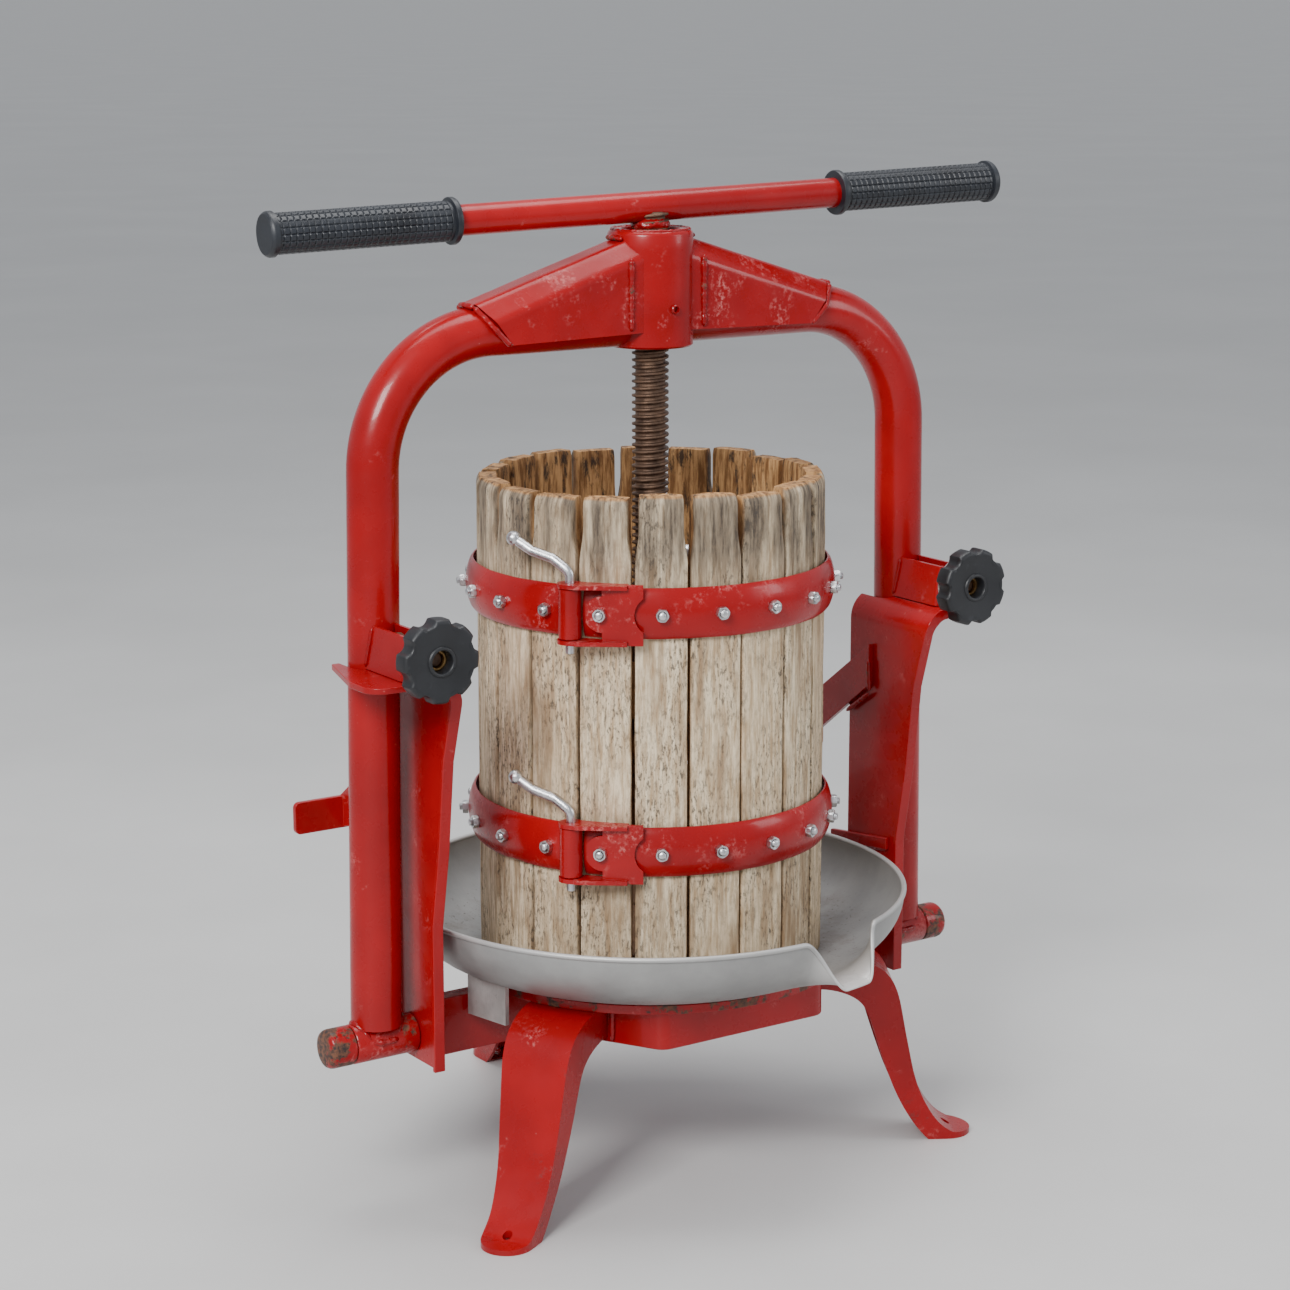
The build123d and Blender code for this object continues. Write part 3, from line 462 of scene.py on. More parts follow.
def merged(*shapes):
    """Several point and face lists as one."""
    verts, faces = [], []
    for shape_verts, shape_faces in shapes:
        shift = len(verts)
        verts += list(shape_verts)
        faces += [tuple(i + shift for i in face) for face in shape_faces]
    return verts, faces


def moved(shape, place):
    """Point and face lists moved by a matrix."""
    return [place @ Vector(v) for v in shape[0]], shape[1]


def turn_z(degrees):
    """Matrix of a turn about the Z axis."""
    return Matrix.Rotation(math.radians(degrees), 4, "Z")


def toward(start, direction):
    """Matrix that puts Z along a direction from a point."""
    return Matrix.Translation(Vector(start)) @ Vector(direction).to_track_quat("Z", "Y").to_matrix().to_4x4()


def weld(name, points, radius, body, slot="frame_paint", closed=False):
    """Weld bead: a rippled tube along a path."""
    points = dense([Vector(p) for p in points] + ([Vector(points[0])] if closed else []), 1.1)
    if closed:
        points = points[:-1]
    radii = []
    for i in range(len(points)):
        ripple = 0.06 * math.sin(i * 1.1) + 0.34 * noise.noise(Vector((i * 0.19, radius, len(points))))
        end = 1.0 if closed else min(1.0, 0.35 + 0.25 * min(i, len(points) - 1 - i))
        radii.append(radius * (1 + ripple) * end)
    verts, faces = tube(points, radii, 10, closed)
    return piece(name, verts, faces, "weld", body, slot, smooth=80.0)


def polished(node, material, bevel=1.2, limit=34.0):
    """Keeps a CAD node, with a new material, softened edges and smooth shading."""
    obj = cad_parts[node]
    mesh = obj.data
    mesh.materials.clear()
    mesh.materials.append(MATERIAL[material])
    if "custom_normal" in mesh.attributes:
        mesh.attributes.remove(mesh.attributes["custom_normal"])
    mesh.polygons.foreach_set("use_smooth", [True] * len(mesh.polygons))
    join = obj.modifiers.new("join", "WELD")
    join.merge_threshold = 0.00002
    flat = obj.modifiers.new("flat", "DECIMATE")
    flat.decimate_type = "DISSOLVE"
    flat.angle_limit = math.radians(0.6)
    edge = obj.modifiers.new("edge", "BEVEL")
    edge.width = bevel * MM
    edge.segments = 2
    edge.limit_method = "ANGLE"
    edge.angle_limit = math.radians(limit)
    edge.use_clamp_overlap = True
    edge.harden_normals = True
    edge.miter_outer = "MITER_ARC"
    return obj


# ---------------------------------------------------------------- basket
def stave_shape(index):
    """Points, faces, grain and tone of one worn stave."""
    angle = SPLIT_ANGLE + STAVE_STEP * (index + 0.5)
    place = turn_z(angle)
    tone = rng.random()
    shift = rng.uniform(0, 40)
    drop = rng.uniform(0.0, 3.5)
    lean = rng.uniform(-0.04, 0.04)
    wide = rng.uniform(-0.35, 0.15)
    chip = rng.uniform(0.0, 2.4)
    heights = [0, 0.8, 2.5] + [6 + 9.0 * i for i in range(39)] + [352, 357, 362]
    heights += [SHOULDER + 2.5 * i for i in range(14)]
    heights += [400, 404, 408, 411, 413.5, 415.5, 417, 418.3, 419.3, BASKET_HEIGHT]
    heights = sorted(set(heights))
    verts, grain = [], []
    for height in heights:
        t = min(1.0, max(0.0, (height - SHOULDER) / SHOULDER_RUN))
        ease = t * t * (3 - 2 * t)
        half = STAVE_HALF + wide - STAVE_NARROWING * ease
        top = max(0.0, (height - 408.0) / 12.0)
        foot = max(0.0, (2.5 - height) / 2.5)
        inner = half - 2.7 * (1 - 0.8 * ease)
        trim = 0.8 * top ** 3 + 0.8 * foot
        outer_wear = (2.6 + chip) * top ** 2.6 + 0.8 * foot
        ring = [(half * s, 0.45 * s ** 4) for s in (-0.93, -0.62, -0.22, 0.22, 0.62, 0.93)]
        flank = [(half - 0.3, 1.0), (half, 3.0), ((half + inner) / 2, 9.5)]
        flank += [(inner, 15.8), (inner - 0.6, 17.5)]
        ring += flank
        ring += [(inner * s, STAVE_DEPTH) for s in (0.88, 0.4, 0.0, -0.4, -0.88)]
        ring += [(-across, depth) for across, depth in reversed(flank)]
        for across, depth in ring:
            outside = max(0.0, 1 - depth / 9.0)
            wave = noise.noise(Vector((across * 0.09 + index * 9, depth * 0.1, height * 0.018)))
            ripple = noise.noise(Vector((across * 0.45, index * 5, height * 0.05)))
            into = depth + outer_wear * outside + 0.35 + 0.45 * wave * outside + 0.18 * ripple * outside
            into -= trim * max(0.0, depth / 9.0 - 1)
            bow = noise.noise(Vector((index * 3, height * 0.02, across * 0.01)))
            side = across * (1 - trim / 22.0) + 0.35 * bow
            rise = height - drop * (height / BASKET_HEIGHT) ** 8 - abs(lean * across) * top
            rise -= 1.8 * top * abs(noise.noise(Vector((across * 0.16, depth * 0.2, index * 4))))
            verts.append(place @ Vector((STAVE_FACE - into, side, BASKET_BOTTOM + rise)))
            grain.append((across * MM + shift, depth * MM, height * MM))
    return verts, closed_grid(len(heights), len(ring)), grain, tone


def staves(name, first, node):
    """Ten staves of one half of the basket as one piece."""
    verts, faces, grain, tones = [], [], [], []
    for index in range(first, first + STAVES // 2):
        v, f, g, tone = stave_shape(index)
        faces += [tuple(i + len(verts) for i in face) for face in f]
        verts += v
        grain += g
        tones += [tone] * len(v)
    made = piece(name, verts, faces, "wood", "basket", "stave_wood", [node], 50.0)
    local = made.data.attributes.new("grain", "FLOAT_VECTOR", "POINT")
    local.data.foreach_set("vector", [c for g in grain for c in g])
    shade = made.data.attributes.new("tone", "FLOAT", "POINT")
    shade.data.foreach_set("value", tones)


def hoop(level, place, first):
    """Crowned half band with rounded edges, and the rolled eye at its end."""
    z = HOOP_Z[level]
    start = SPLIT_ANGLE + 180.0 * first
    outside, inside = [], []
    for i in range(17):
        s = -1 + i / 8
        crown = HOOP_CROWN * (1 - s * s)
        edge = 0.9 * max(0.0, abs(s) - 0.93) / 0.07
        outside.append((HOOP_EDGE + HOOP_SHEET + crown - edge, s * HOOP_HALF))
        inside.append((HOOP_EDGE + crown + 0.1 + edge, s * HOOP_HALF))
    ring = outside + inside[::-1]
    verts = []
    steps = 150
    for i in range(steps + 1):
        turn = math.radians(start + 3.2 + 177.3 * i / steps)
        for k, (radius, height) in enumerate(ring):
            dent = 0.25 * noise.noise(Vector((turn * 9, height * 0.04, z)))
            sway = 0.3 * noise.noise(Vector((turn * 5, z, k % 2)))
            verts.append(polar(radius + dent, turn, z + height + sway))
    faces = closed_grid(steps + 1, len(ring))
    eye_place = turn_z(start + 180.0) @ Matrix.Translation((PIN_CIRCLE, 0, z))
    eye_profile = [(EYE_BORE, -20.6), (5.2, -21.0), (8.6, -21.0), (9.4, -20.2)]
    eye_profile += [(9.45 + 0.12 * noise.noise(Vector((0, s * 0.3, z))), float(s)) for s in range(-18, 19, 3)]
    eye_profile += [(9.4, 20.2), (8.6, 21.0), (5.2, 21.0), (EYE_BORE, 20.6)]
    eye = lathe(eye_profile, eye_place, 40, caps=False)
    inner_wall = lathe([(EYE_BORE, 20.6), (EYE_BORE, -20.6)], eye_place, 40, caps=False)
    verts, faces = merged((verts, faces), eye, inner_wall)
    node = f"hoop_{level}_{place}"
    piece(f"{node}_band", verts, faces, "hoop", "basket", "hoop_paint", [node])


def hex_nut():
    """M6 nut with chamfered corners, its axis along Z from 0 to 5."""
    verts = []
    rows = [(0.0, 0.92), (0.5, 1.0), (4.4, 1.0), (5.0, 0.90)]
    for height, share in rows:
        for turn in turns(48):
            flat = 5.0 / math.cos((turn + math.pi / 6) % (math.pi / 3) - math.pi / 6)
            verts.append(polar(min(flat, 5.75 * share), turn, height))
    for radius, height in ((3.7, 5.05), (3.2, 4.7)):
        verts += [polar(radius, turn, height) for turn in turns(48)]
    return verts, grid_faces(len(rows) + 2, 48)


def threaded_end(radius, length, pitch):
    """Threaded bolt end with a chamfered tip, its axis along Z from 0."""
    profile = []
    turns = int(length / pitch)
    for i in range(turns):
        profile += [(radius * 0.86, i * pitch), (radius, (i + 0.5) * pitch)]
    profile += [(radius * 0.86, length - 0.4), (radius * 0.55, length)]
    return lathe(profile, steps=20)


def fasteners():
    """All hoop nuts and bolts."""
    nut = hex_nut()
    end = threaded_end(3.0, 4.2, 1.0)
    head = lathe([(6.4, 0.0), (6.3, 0.6), (5.2, 1.6), (3.0, 2.3), (0.6, 2.5)], steps=24)
    nuts, bolts = [], []
    for z in HOOP_Z.values():
        for index in range(STAVES):
            angle = SPLIT_ANGLE + STAVE_STEP * (index + 0.5)
            on_clamp = index % (STAVES // 2) == 0
            seat = CLAMP_OUTSIDE if on_clamp else HOOP_EDGE + HOOP_SHEET + HOOP_CROWN
            spin = Matrix.Rotation(rng.uniform(0, 6.28), 4, "Z")
            out = turn_z(angle) @ toward((seat, 0, z), (1, 0, 0))
            nuts.append(moved(nut, out @ spin))
            bolts.append(moved(end, out @ Matrix.Translation((0, 0, 3.8))))
            inwards = turn_z(angle) @ toward((STAVE_FACE - STAVE_DEPTH, 0, z), (-1, 0, 0))
            bolts.append(moved(head, inwards))
    piece("hoop_nuts_set", *merged(*nuts), "zinc", "basket", "zinc", ["hoop_nuts"])
    piece("hoop_bolts_set", *merged(*bolts), "zinc", "basket", "zinc", ["hoop_bolts"])


def hoop_pin(level, place, first):
    """Cranked rod pin with a ball end."""
    z = HOOP_Z[level]
    frame_at = turn_z(SPLIT_ANGLE + 180.0 * first) @ Matrix.Translation((PIN_CIRCLE, 0, z))
    corners = [(0, 0, -33), (0, 0, 34), (0, -15, 44), (0, -34, 49), (0, -50, 58)]
    path = rounded_path([frame_at @ Vector(c) for c in corners], 9.0, 1.5)
    end = path[-1]
    way = (path[-1] - path[-3]).normalized()
    ball = [end + way * (BALL_RADIUS * math.sin(math.radians(a))) for a in range(-48, 91, 12)]
    ball_radii = [max(0.3, BALL_RADIUS * math.cos(math.radians(a))) for a in range(-48, 91, 12)]
    body_path = [p for p in path if (p - end).dot(way) < -4.6]
    tip = [body_path[0] - Vector((0, 0, 0.6))]
    points = tip + body_path + ball
    radii = [3.0]
    for p in body_path:
        bent = min(1.0, max(0.0, (p.z - z - 30.0) / 8.0))
        radii.append(3.75 + 0.4 * bent + 0.10 * noise.noise(p * 0.07))
    radii += ball_radii
    node = f"hoop_pin_{level}_{place}"
    piece(f"{node}_rod", *tube(points, radii, 28), "zinc", node, "zinc", [node])


# ---------------------------------------------------------------- tray
def tray_profile():
    """Radius and height from the floor's centre to the rim, on the sheet's middle."""
    floor = TRAY_FLOOR + 1.0
    radius = TRAY_RADIUS - 1.0
    width = TRAY_CORNER_WIDTH - 1.0
    rise = TRAY_CORNER_HEIGHT - 1.0
    points = [(2.0, floor), (60.0, floor), (120.0, floor), (136.0, floor), (144.0, floor)]
    for i in range(25):
        turn = math.radians(3.75 * i)
        points.append((radius - width + width * math.sin(turn), floor + rise - rise * math.cos(turn)))
    return points + [(radius, TRAY_RIM - 1.0)]


def spout_at(degrees_off, height):
    """How far the wall is pushed out and pulled down at an angle from the spout."""
    reach = min(1.0, max(0.0, abs(degrees_off) - SPOUT_FLAT) / SPOUT_FLARE)
    pull = (0.5 + 0.5 * math.cos(math.pi * reach)) ** 1.15
    share = min(1.0, max(0.0, (height - SPOUT_ROOT) / (TRAY_RIM - SPOUT_ROOT)))
    return SPOUT_REACH * pull * share ** 1.1, SPOUT_DROP * pull * share ** 1.5


def tray_dent(degrees, height):
    """How far the wall is out of round."""
    return 0.5 * noise.noise(Vector((math.cos(math.radians(degrees)) * 2, degrees * 0.02, height * 0.02)))


def tray():
    """Pressed tray: sheet with a rolled rim that flares into the pouring lip."""
    profile = tray_profile()
    angles = []
    degrees = -180.0
    while degrees < 179.99:
        angles.append(degrees)
        degrees += 0.5 if abs(degrees - SPOUT_ANGLE) < 13.0 else 2.5
    shells = []
    for side in (-1.0, 1.0):
        verts = []
        for k, (radius, height) in enumerate(profile):
            before = profile[max(0, k - 1)]
            after = profile[min(len(profile) - 1, k + 1)]
            run = Vector((after[0] - before[0], after[1] - before[1])).normalized()
            r = radius - side * run.y
            h = height + side * run.x
            for degrees in angles:
                out, down = spout_at(degrees - SPOUT_ANGLE, height)
                reach = r + out + (tray_dent(degrees, h) if radius > 160 else 0.0)
                verts.append(polar(reach, math.radians(degrees), h - down))
        faces = grid_faces(len(profile), len(angles))
        faces.append(tuple(range(len(angles))))
        shells.append((verts, faces))
    rim, bead_radii = [], []
    for degrees in angles:
        out, down = spout_at(degrees - SPOUT_ANGLE, TRAY_RIM)
        reach = TRAY_RADIUS - 0.4 + out + tray_dent(degrees, TRAY_RIM)
        rim.append(polar(reach, math.radians(degrees), TRAY_RIM - 0.6 - down))
        bead_radii.append(2.3 - 1.0 * min(1.0, down / 30.0))
    bead = tube(rim, bead_radii, 14, closed=True)
    piece("tray_dish", *merged(*shells, bead), "tray", "tray_body", "tray_steel", ["tray"], 60.0)


# ---------------------------------------------------------------- yoke, hub and screw
def yoke_arm(side):
    """Bent tube of the yoke."""
    name = "left" if side < 0 else "right"
    low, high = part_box(f"yoke_arm_{name}")
    foot_x = max(abs(low.x), abs(high.x)) / MM - TUBE_RADIUS
    top = high.z / MM - TUBE_RADIUS
    corners = [(side * foot_x, 0, 160.0), (side * (foot_x - 8.0), 0, top), (side * 30.0, 0, top)]
    path = rounded_path(corners, TUBE_BEND, 5.0)
    shape = tube(path, TUBE_RADIUS, 64)
    piece(f"yoke_tube_{name}", *shape, "yoke", "yoke", "yoke_paint", [f"yoke_arm_{name}"])


def resampled(points, count):
    """Points of a path at equal steps along it."""
    lengths = [0.0]
    for a, b in zip(points, points[1:]):
        lengths.append(lengths[-1] + (b - a).length)
    out = []
    k = 0
    for i in range(count):
        goal = lengths[-1] * i / (count - 1)
        while k < len(points) - 2 and lengths[k + 1] < goal:
            k += 1
        span = max(1e-6, lengths[k + 1] - lengths[k])
        out.append(points[k].lerp(points[k + 1], min(1.0, (goal - lengths[k]) / span)))
    return out


def gusset_section(x, inset):
    """Rounded gable of a gusset at a distance from the hub, as (y, z) points."""
    share = (x - 20.0) / 162.0
    half = 26.5 - 1.0 * share - inset
    bottom = 722.0 - 3.0 * share
    ridge = 786.0 - 52.0 * share - inset * 0.7
    apex = 802.0 - 50.5 * share - inset
    gable = [(-half, bottom), (-half, ridge), (-half * 0.45, apex)]
    gable += [(half * 0.45, apex), (half, ridge), (half, bottom)]
    path = rounded_path([Vector((y, z, 0)) for y, z in gable], 7.5 - inset, 1.0)
    return resampled(path, GUSSET_POINTS)


def gusset(side):
    """Folded sheet saddle with rounded folds, slightly sunk between the welds."""
    name = "left" if side < 0 else "right"
    rows = 36
    verts = []
    for i in range(rows):
        share = i / (rows - 1)
        ring = []
        for inset in (0.0, GUSSET_SHEET):
            line = []
            for k in range(GUSSET_POINTS):
                end = 165.0
                for _ in range(3):
                    height = gusset_section(end, inset)[k].y
                    end = 150.0 + (height - 719.0) * 31.0 / 39.0
                sideways = gusset_section(36.0, inset)[k].x
                start = math.sqrt(max(4.0, 35.6 ** 2 - sideways ** 2))
                x = start + (end - start) * share
                point = gusset_section(x, inset)[k]
                dent = 0.7 * noise.noise(Vector((x * 0.02, k * 0.06, side * 3.0))) * math.sin(math.pi * share)
                line.append((side * x, point.x * (1 + dent * 0.03), point.y + dent * 0.5))
            ring += line if inset == 0.0 else line[::-1]
        verts += ring
    faces = closed_grid(rows, 2 * GUSSET_POINTS)
    piece(f"gusset_{name}_saddle", verts, faces, "gusset", "yoke", "yoke_paint", [f"gusset_{name}"], 38.0)


def turned_parts():
    """Hub, pivot sleeves and pivot heads, turned smooth."""
    low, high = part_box("hub")
    bottom, top = low.z / MM, high.z / MM
    profile = [(17.5, bottom + 3.0), (18.5, bottom + 0.3), (34.5, bottom), (HUB_RADIUS, bottom + 1.5)]
    profile += [(HUB_RADIUS, bottom + 1.5 + (top - bottom - 6.0) * i / 8) for i in range(1, 9)]
    profile += [(35.2, top - 2.4), (33.5, top - 0.8), (31.0, top - 0.1), (25.0, top - 0.1), (24.4, top - 2.0)]
    piece("hub_barrel", *lathe(profile, steps=128, caps=False), "hub", "yoke", "yoke_paint", ["hub"])
    for side, name in ((-1, "left"), (1, "right")):
        low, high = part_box(f"pivot_sleeve_{name}")
        inner = min(abs(low.x), abs(high.x)) / MM
        outer = max(abs(low.x), abs(high.x)) / MM
        place = toward((0, 0, (low.z + high.z) / 2 / MM), (side, 0, 0))
        profile = [(11.0, inner + 0.4), (15.6, inner), (SLEEVE_RADIUS, inner + 1.1)]
        profile += [(SLEEVE_RADIUS, outer - 1.1), (15.8, outer), (11.0, outer - 0.4)]
        sleeve = lathe(profile, place, 72, caps=False)
        piece(f"sleeve_{name}", *sleeve, "cap", "yoke", "cap_paint", [f"pivot_sleeve_{name}"])
        cap = [(10.0, inner - 5.5), (10.0, outer + 0.6), (15.6, outer + 0.6), (16.6, outer + 1.6)]
        cap += [(16.6, outer + 18.0), (16.2, outer + 20.5), (15.0, outer + 22.6), (12.5, outer + 23.6)]
        cap += [(7.0, outer + 24.0), (0.5, outer + 24.0)]
        replaced = ["pivot_pins"] if side < 0 else []
        piece(f"pivot_head_{name}", *lathe(cap, place, 72), "cap_end", "base", "cap_paint", replaced)


def thread():
    """Trapezoidal press screw with worn crests."""
    _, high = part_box("screw")
    bottom, top = SCREW_FOOT, high.z / MM
    steps = 40
    rows = int((top - bottom) / 0.5)
    verts = []
    for i in range(rows + 1):
        z = bottom + (top - bottom) * i / rows
        for j, turn in enumerate(turns(steps)):
            phase = ((z - SCREW_PITCH * j / steps) / SCREW_PITCH) % 1.0
            ridge = min(1.0, max(0.0, 1.9 - abs(phase - 0.5) * 6.4))
            ridge = ridge * ridge * (3 - 2 * ridge)
            worn = 0.25 * noise.noise(Vector((math.cos(turn) * 3, math.sin(turn) * 3, z * 0.12)))
            radius = 12.9 + 2.85 * ridge + worn * (0.5 + ridge) - 0.1
            verts.append(polar(radius, turn, z))
    faces = closed_grid(rows + 1, steps)
    spigot = lathe([(9.0, 452.0), (10.0, 453.0), (10.0, 470.6)], steps=40)
    piece("screw_thread", *merged((verts, faces), spigot), "screw", "spindle", "screw_steel", ["screw"], 70.0)


def handle_axis():
    """Matrix with Z along the handle, from the left grip to the right grip."""
    middles = []
    for name in ("left", "right"):
        low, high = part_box(f"hand_grip_{name}")
        middles.append((low + high) / 2)
    centre = (middles[0] + middles[1]) / 2
    return toward(centre / MM, middles[1] - middles[0])


def handle(place):
    """Handle bar, and the lump of weld that joins it to the screw."""
    path = [place @ Vector((0, 0, z)) for z in (-BAR_HALF, -200.0, -60.0, 0.0, 60.0, 200.0, BAR_HALF)]
    piece("handle_tube", *tube(path, BAR_RADIUS, 56), "bar", "spindle", "bar_paint", ["handle_bar"])
    verts = []
    rows, steps = 14, 64
    for i in range(rows):
        share = i / (rows - 1)
        height = 805.0 + 11.5 * share
        radius = 13.4 + 3.6 * math.sin(math.pi * min(1.0, share * 1.25)) ** 0.7 - 1.6 * share
        for turn in turns(steps):
            spot = Vector((math.cos(turn) * 3.4, math.sin(turn) * 3.4, share * 2.5))
            lump = 1 + 0.10 * noise.noise(spot) + 0.05 * noise.noise(spot * 2.7)
            verts.append(polar(radius * lump, turn, height))
    faces = grid_faces(rows, steps) + [last_row(rows, steps)]
    piece("handle_weld", verts, faces, "weld", "spindle", "bar_paint", smooth=80.0)


def grip(place, side):
    """Moulded grip with a raised grid, a collar and a rounded end."""
    name = "left" if side < 0 else "right"
    along = []
    x = GRIP_START
    while x < 346.9:
        along.append(x)
        x += 0.9 if RIBS_START < x < RIBS_END else 0.6
    steps = 108
    verts = []
    for x in along:
        if x < 187.0:
            base = 19.3 - 0.5 * max(0.0, 183.2 - x) - 0.5 * max(0.0, x - 186.2)
        elif x > 340.0:
            end = max(0.0, x - 343.0) / 4.0
            base = 18.3 - 2.6 * end * end
        else:
            base = 16.2
        ribbed = RIBS_START < x < RIBS_END
        gap = ((x - RIBS_START) % RIB_PITCH) < 0.95
        for j, turn in enumerate(turns(steps)):
            groove = (j % 6) == 0
            radius = base - (RIB_DEPTH if ribbed and (gap or groove) else 0.0) + (0.3 if ribbed else 0.0)
            verts.append(place @ Vector(polar(radius, turn, side * x)))
    faces = closed_grid(len(along), steps)
    piece(f"grip_{name}", verts, faces, "grip", "spindle", "grip_rubber", [f"hand_grip_{name}"], 35.0)


def lobed_radius(turn, rounding):
    """Radius of the knob's outline, with eight round notches and softened corners."""
    off = (turn + math.pi / 8) % (math.pi / 4) - math.pi / 8
    across = NOTCH_CIRCLE * math.sin(off)
    if abs(across) >= NOTCH_RADIUS:
        return KNOB_RADIUS - rounding
    notch = NOTCH_CIRCLE * math.cos(off) - math.sqrt(NOTCH_RADIUS ** 2 - across ** 2)
    sharp = max(0.0, notch - 32.0) / 2.0
    return min(KNOB_RADIUS, notch - 0.55 * min(1.0, sharp) ** 2) - rounding


def knob(name):
    """Lobed hand knob with a raised ring and a brass insert."""
    low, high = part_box(f"lock_knob_{name}")
    centre = (low + high) / 2 / MM
    depth = (high.y - low.y) / MM
    turned = 20.0 if name == "left" else 0.0
    steps = 360
    # each ring is a fixed radius (0 to follow the lobes), a depth from the back and a rounding
    rings = [(10.0, 0.1, 0.3), (15.6, 0.1, 0.3), (16.8, 1.0, 0.3), (17.2, 4.6, 0.3), (24.0, 4.8, 0.3)]
    rings += [(0, 4.9, 2.2), (0, 5.6, 1.0), (0, 6.8, 0.3), (0, 8.4, 0.0), (0, 13.0, 0.0)]
    rings += [(0, depth - 4.5, 0.0), (0, depth - 2.6, 0.35), (0, depth - 1.2, 1.2), (0, depth - 0.5, 2.3)]
    rings += [(0, depth - 0.2, 3.6), (29.0, depth - 0.2, 0.4), (24.0, depth - 0.7, 0.2)]
    rings += [(16.0, depth - 1.3, 0), (12.6, depth - 1.6, 0), (12.0, depth - 0.5, 0)]
    rings += [(11.2, depth, 0), (10.0, depth - 0.1, 0)]
    rings += [(9.3, depth - 0.9, 0), (8.9, depth - 3.0, 0), (8.5, depth - 10.2, 0)]
    verts = []
    for fixed, height, rounding in rings:
        y = high.y / MM - height
        for turn in turns(steps):
            edge = lobed_radius(turn - math.radians(turned), rounding)
            radius = min(fixed, edge) if fixed else edge
            verts.append((centre.x + radius * math.cos(turn), y, centre.z + radius * math.sin(turn)))
    faces = grid_faces(len(rings), steps) + [first_row(steps)]
    body = f"knob_{name}"
    piece(f"{body}_body", verts, faces, "knob", body, "knob_plastic", [f"lock_knob_{name}"], 50.0)
    place = toward((centre.x, high.y / MM, centre.z), (0, -1, 0))
    profile = [(6.1, 6.0), (6.1, 12.0), (6.6, 12.8), (7.6, 13.0), (8.4, 12.6), (8.4, 6.0)]
    insert = lathe(profile, place, 40, caps=False)
    piece(f"{body}_insert", *insert, "brass", body, "brass", [f"knob_insert_{name}"])


def lock_bolt(name):
    """Threaded eye bolt behind the knob."""
    low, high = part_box(f"lock_bolt_{name}")
    middle = (low + high) / 2 / MM
    pivot_y = high.y / MM - 9.5
    eye = lathe([(4.1, -7.4), (8.8, -7.5), (9.5, -6.8), (9.5, 6.8), (8.8, 7.5), (4.1, 7.4)],
                toward((middle.x, pivot_y, middle.z), (1, 0, 0)), 48, caps=False)
    length = pivot_y - low.y / MM - 8.0
    stud = moved(threaded_end(6.0, length, 1.75), toward((middle.x, pivot_y - 8.0, middle.z), (0, -1, 0)))
    body = f"swing_bolt_{name}"
    piece(f"{body}_eye", *merged(eye, stud), "screw", body, "zinc", [f"lock_bolt_{name}"])


# ---------------------------------------------------------------- weld beads
def circle(radius, place, count):
    """Points of a circle about the place's Z axis."""
    return [place @ Vector(polar(radius, math.radians(360.0 * i / count), 0)) for i in range(count)]


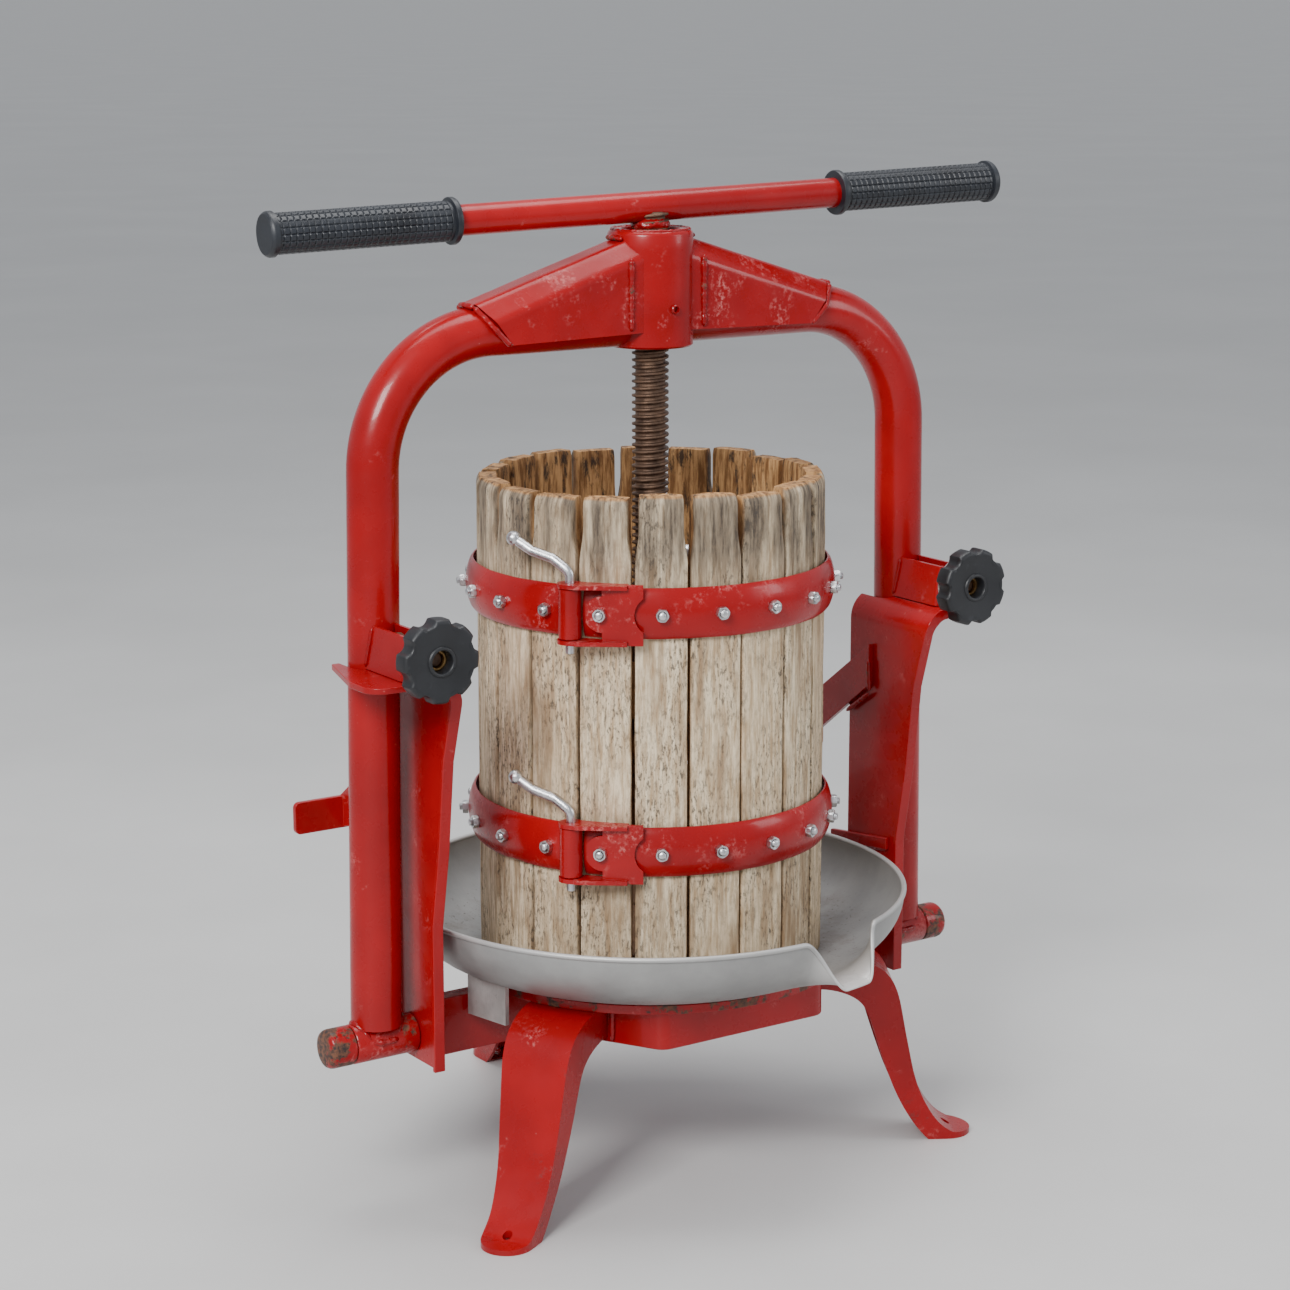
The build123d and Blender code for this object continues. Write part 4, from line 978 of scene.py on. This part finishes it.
def welds():
    """Beads where the real parts are joined."""
    for side, name in ((-1, "left"), (1, "right")):
        foot_ring = []
        for turn in turns(64):
            x = 21.0 * math.cos(turn)
            y = 21.0 * math.sin(turn)
            over = 147.0 + math.sqrt(max(0.0, SLEEVE_RADIUS ** 2 - min(abs(y), 16.6) ** 2))
            foot_ring.append((side * 274.5 + x, y * 0.8, over + 0.6))
        weld(f"weld_sleeve_{name}", foot_ring, 2.6, "yoke", "cap_paint", closed=True)
        for face in (-1, 1):
            y = face * 26.4
            top_line = [(side * 36.5, y, 724), (side * 36.5, y, 784)]
            weld(f"weld_hub_{name}_{'f' if face < 0 else 'b'}", top_line, 2.6, "yoke", "yoke_paint")
            end_line = [(side * 152, face * 24.6, 719), (side * 167, face * 24.2, 734)]
            end_line.append((side * 179.5, face * 12, 751))
            weld(f"weld_gusset_{name}_{'f' if face < 0 else 'b'}", end_line, 2.4, "yoke", "yoke_paint")
        crown = [(side * 179.5, -12, 751), (side * 181, 0, 752), (side * 179.5, 12, 751)]
        weld(f"weld_gusset_top_{name}", crown, 2.4, "yoke", "yoke_paint")
        ridge = [(side * 36.5, -12, 799), (side * 36.8, 0, 800), (side * 36.5, 12, 799)]
        weld(f"weld_hub_top_{name}", ridge, 2.6, "yoke", "yoke_paint")
        low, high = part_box(f"lock_bracket_{name}")
        middle = (low.x + high.x) / 2 / MM
        top = high.z / MM
        for way in (-1, 1):
            line = []
            for i in range(9):
                drop = 4.0 * i
                across = 11.0 + 5.0 * drop / 35.0
                y = -math.sqrt(21.4 ** 2 - across ** 2) - 0.3
                line.append((middle + way * (across + 0.4), y, top - 1.0 - drop))
            weld(f"weld_bracket_{name}_{'a' if way < 0 else 'b'}", line, 1.9, "yoke", "yoke_paint")
        start = side * 231.5
        weld(f"weld_stop_{name}", [(start, -9, 409), (start, -11, 381)], 2.2, "base")
        weld(f"weld_stop_low_{name}", [(start, -10, 378), (start, 22, 356)], 2.0, "base")
        weld(f"weld_rail_{name}", [(side * 234.5, -36, 237.5), (side * 234.5, 22, 230.0)], 1.7, "base")
        corner = side * POST_FACE
        for y in (-9.6, 9.6):
            line = [(corner, y, 125), (corner, y, 171)]
            weld(f"weld_beam_{name}_{'f' if y < 0 else 'b'}", line, 2.3, "base")
    for angle, name in ((-150.0, "left"), (-30.0, "right"), (90.0, "back")):
        place = turn_z(angle)
        for y in (-34.5, 34.5):
            line = [place @ Vector((144.5, y * 1.02, 143)), place @ Vector((144.5, y * 1.02, 170))]
            weld(f"weld_leg_{name}_{'a' if y < 0 else 'b'}", line, 2.2, "base")
    rim = circle(32.5, Matrix.Translation((0, 0, 805.2)), 60)
    weld("weld_hub_rim", rim, 1.5, "yoke", "yoke_paint", closed=True)


def set_screw():
    """Socket screw ring in the hub's front."""
    low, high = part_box("nut_lock_screw")
    middle = (low + high) / 2 / MM
    place = toward((middle.x, high.y / MM, middle.z), (0, -1, 0))
    length = (high.y - low.y) / MM
    profile = [(4.0, 0.0), (4.0, length - 0.8), (3.3, length)]
    profile += [(2.5, length), (2.2, length - 3.5), (0.2, length - 3.6)]
    piece("hub_set_screw", *lathe(profile, place, 36), "weld", "yoke", "zinc", ["nut_lock_screw"])


# ---------------------------------------------------------------- assembly
def build():
    """Every visible piece of the press."""
    staves("staves_front_worn", 0, "staves_front")
    staves("staves_back_worn", STAVES // 2, "staves_back")
    for level in HOOP_Z:
        for first, place in enumerate(("front", "back")):
            hoop(level, place, first)
            hoop_pin(level, place, first)
            polished(f"hoop_clamp_{level}_{place}", "clamp", 0.9, 40.0)
    fasteners()
    tray()
    for side in (-1, 1):
        yoke_arm(side)
        gusset(side)
    turned_parts()
    thread()
    place = handle_axis()
    handle(place)
    for side in (-1, 1):
        grip(place, side)
    for name in ("left", "right"):
        knob(name)
        lock_bolt(name)
        polished(f"post_{name}", "frame", 1.3)
        polished(f"stop_arm_{name}", "frame", 1.0)
        polished(f"side_rail_{name}", "frame", 1.0)
        polished(f"lock_bracket_{name}", "yoke", 0.9)
        polished(f"lock_washer_{name}", "zinc", 0.4)
        polished(f"press_board_{name}", "board", 2.0)
    for name in ("left", "right", "back"):
        polished(f"leg_{name}", "leg", 3.2, 50.0)
    for name in ("front", "back"):
        polished(f"base_skirt_{name}", "frame", 1.2)
    polished("base_disc", "disc", 0.8)
    polished("base_beam", "frame", 1.3)
    polished("tray_lugs", "lug", 0.8)
    polished("lock_pins", "zinc", 0.6)
    polished("hub_nut", "brass", 0.6)
    polished("thrust_foot", "screw", 1.0)
    welds()
    set_screw()


# ---------------------------------------------------------------- studio
def area_light(name, location, target, size, power, colour=(1.0, 1.0, 1.0)):
    """Soft rectangular light aimed at a point."""
    data = bpy.data.lights.new(name, "AREA")
    data.shape = "RECTANGLE"
    data.size, data.size_y = size
    data.energy = power
    data.color = colour
    lamp = bpy.data.objects.new(name, data)
    lamp.location = location
    lamp.rotation_euler = (Vector(target) - Vector(location)).to_track_quat("-Z", "Y").to_euler()
    bpy.context.scene.collection.objects.link(lamp)


def studio():
    """Floor, lights and camera."""
    floor_mesh = bpy.data.meshes.new("floor")
    reach = 400.0
    corners = [(-reach, -reach, 0), (reach, -reach, 0), (reach, reach, 0), (-reach, reach, 0)]
    floor_mesh.from_pydata(corners, [], [(0, 1, 2, 3)])
    floor = bpy.data.objects.new("floor", floor_mesh)
    bpy.context.scene.collection.objects.link(floor)
    p = Paint("pale_floor")
    broad = p.noise(1.3, 6.0, 0.6)
    fine = p.noise(60.0, 4.0, 0.6)
    colour = p.blend(p.span(broad, 0.35, 0.65), (0.50, 0.495, 0.485), (0.56, 0.555, 0.545))
    floor_mesh.materials.append(p.finish(colour, p.span(broad, 0.3, 0.7, 0.42, 0.52), fine, 0.0003))
    world = bpy.data.worlds.new("studio")
    world.use_nodes = True
    sky = world.node_tree.nodes["Background"]
    sky.inputs["Color"].default_value = (0.86, 0.89, 0.94, 1.0)
    sky.inputs["Strength"].default_value = 0.70
    bpy.context.scene.world = world
    area_light("key", (-2.4, -1.5, 2.3), (0, 0, 0.5), (1.1, 1.1), 118.0)
    area_light("top", (0.2, 0.3, 3.2), (0, 0, 0.4), (2.4, 1.8), 78.0)
    area_light("fill", (2.4, -2.2, 1.6), (0, 0, 0.5), (1.0, 1.4), 26.0, (0.95, 0.97, 1.0))
    data = bpy.data.cameras.new("camera")
    data.lens = 84.6
    data.sensor_width = 36.0
    camera = bpy.data.objects.new("camera", data)
    camera.location = (-1.426, -2.114, 1.002)
    camera.rotation_euler = (math.radians(77.77), 0.0, math.radians(-33.9))
    bpy.context.scene.collection.objects.link(camera)
    bpy.context.scene.camera = camera


build()
studio()
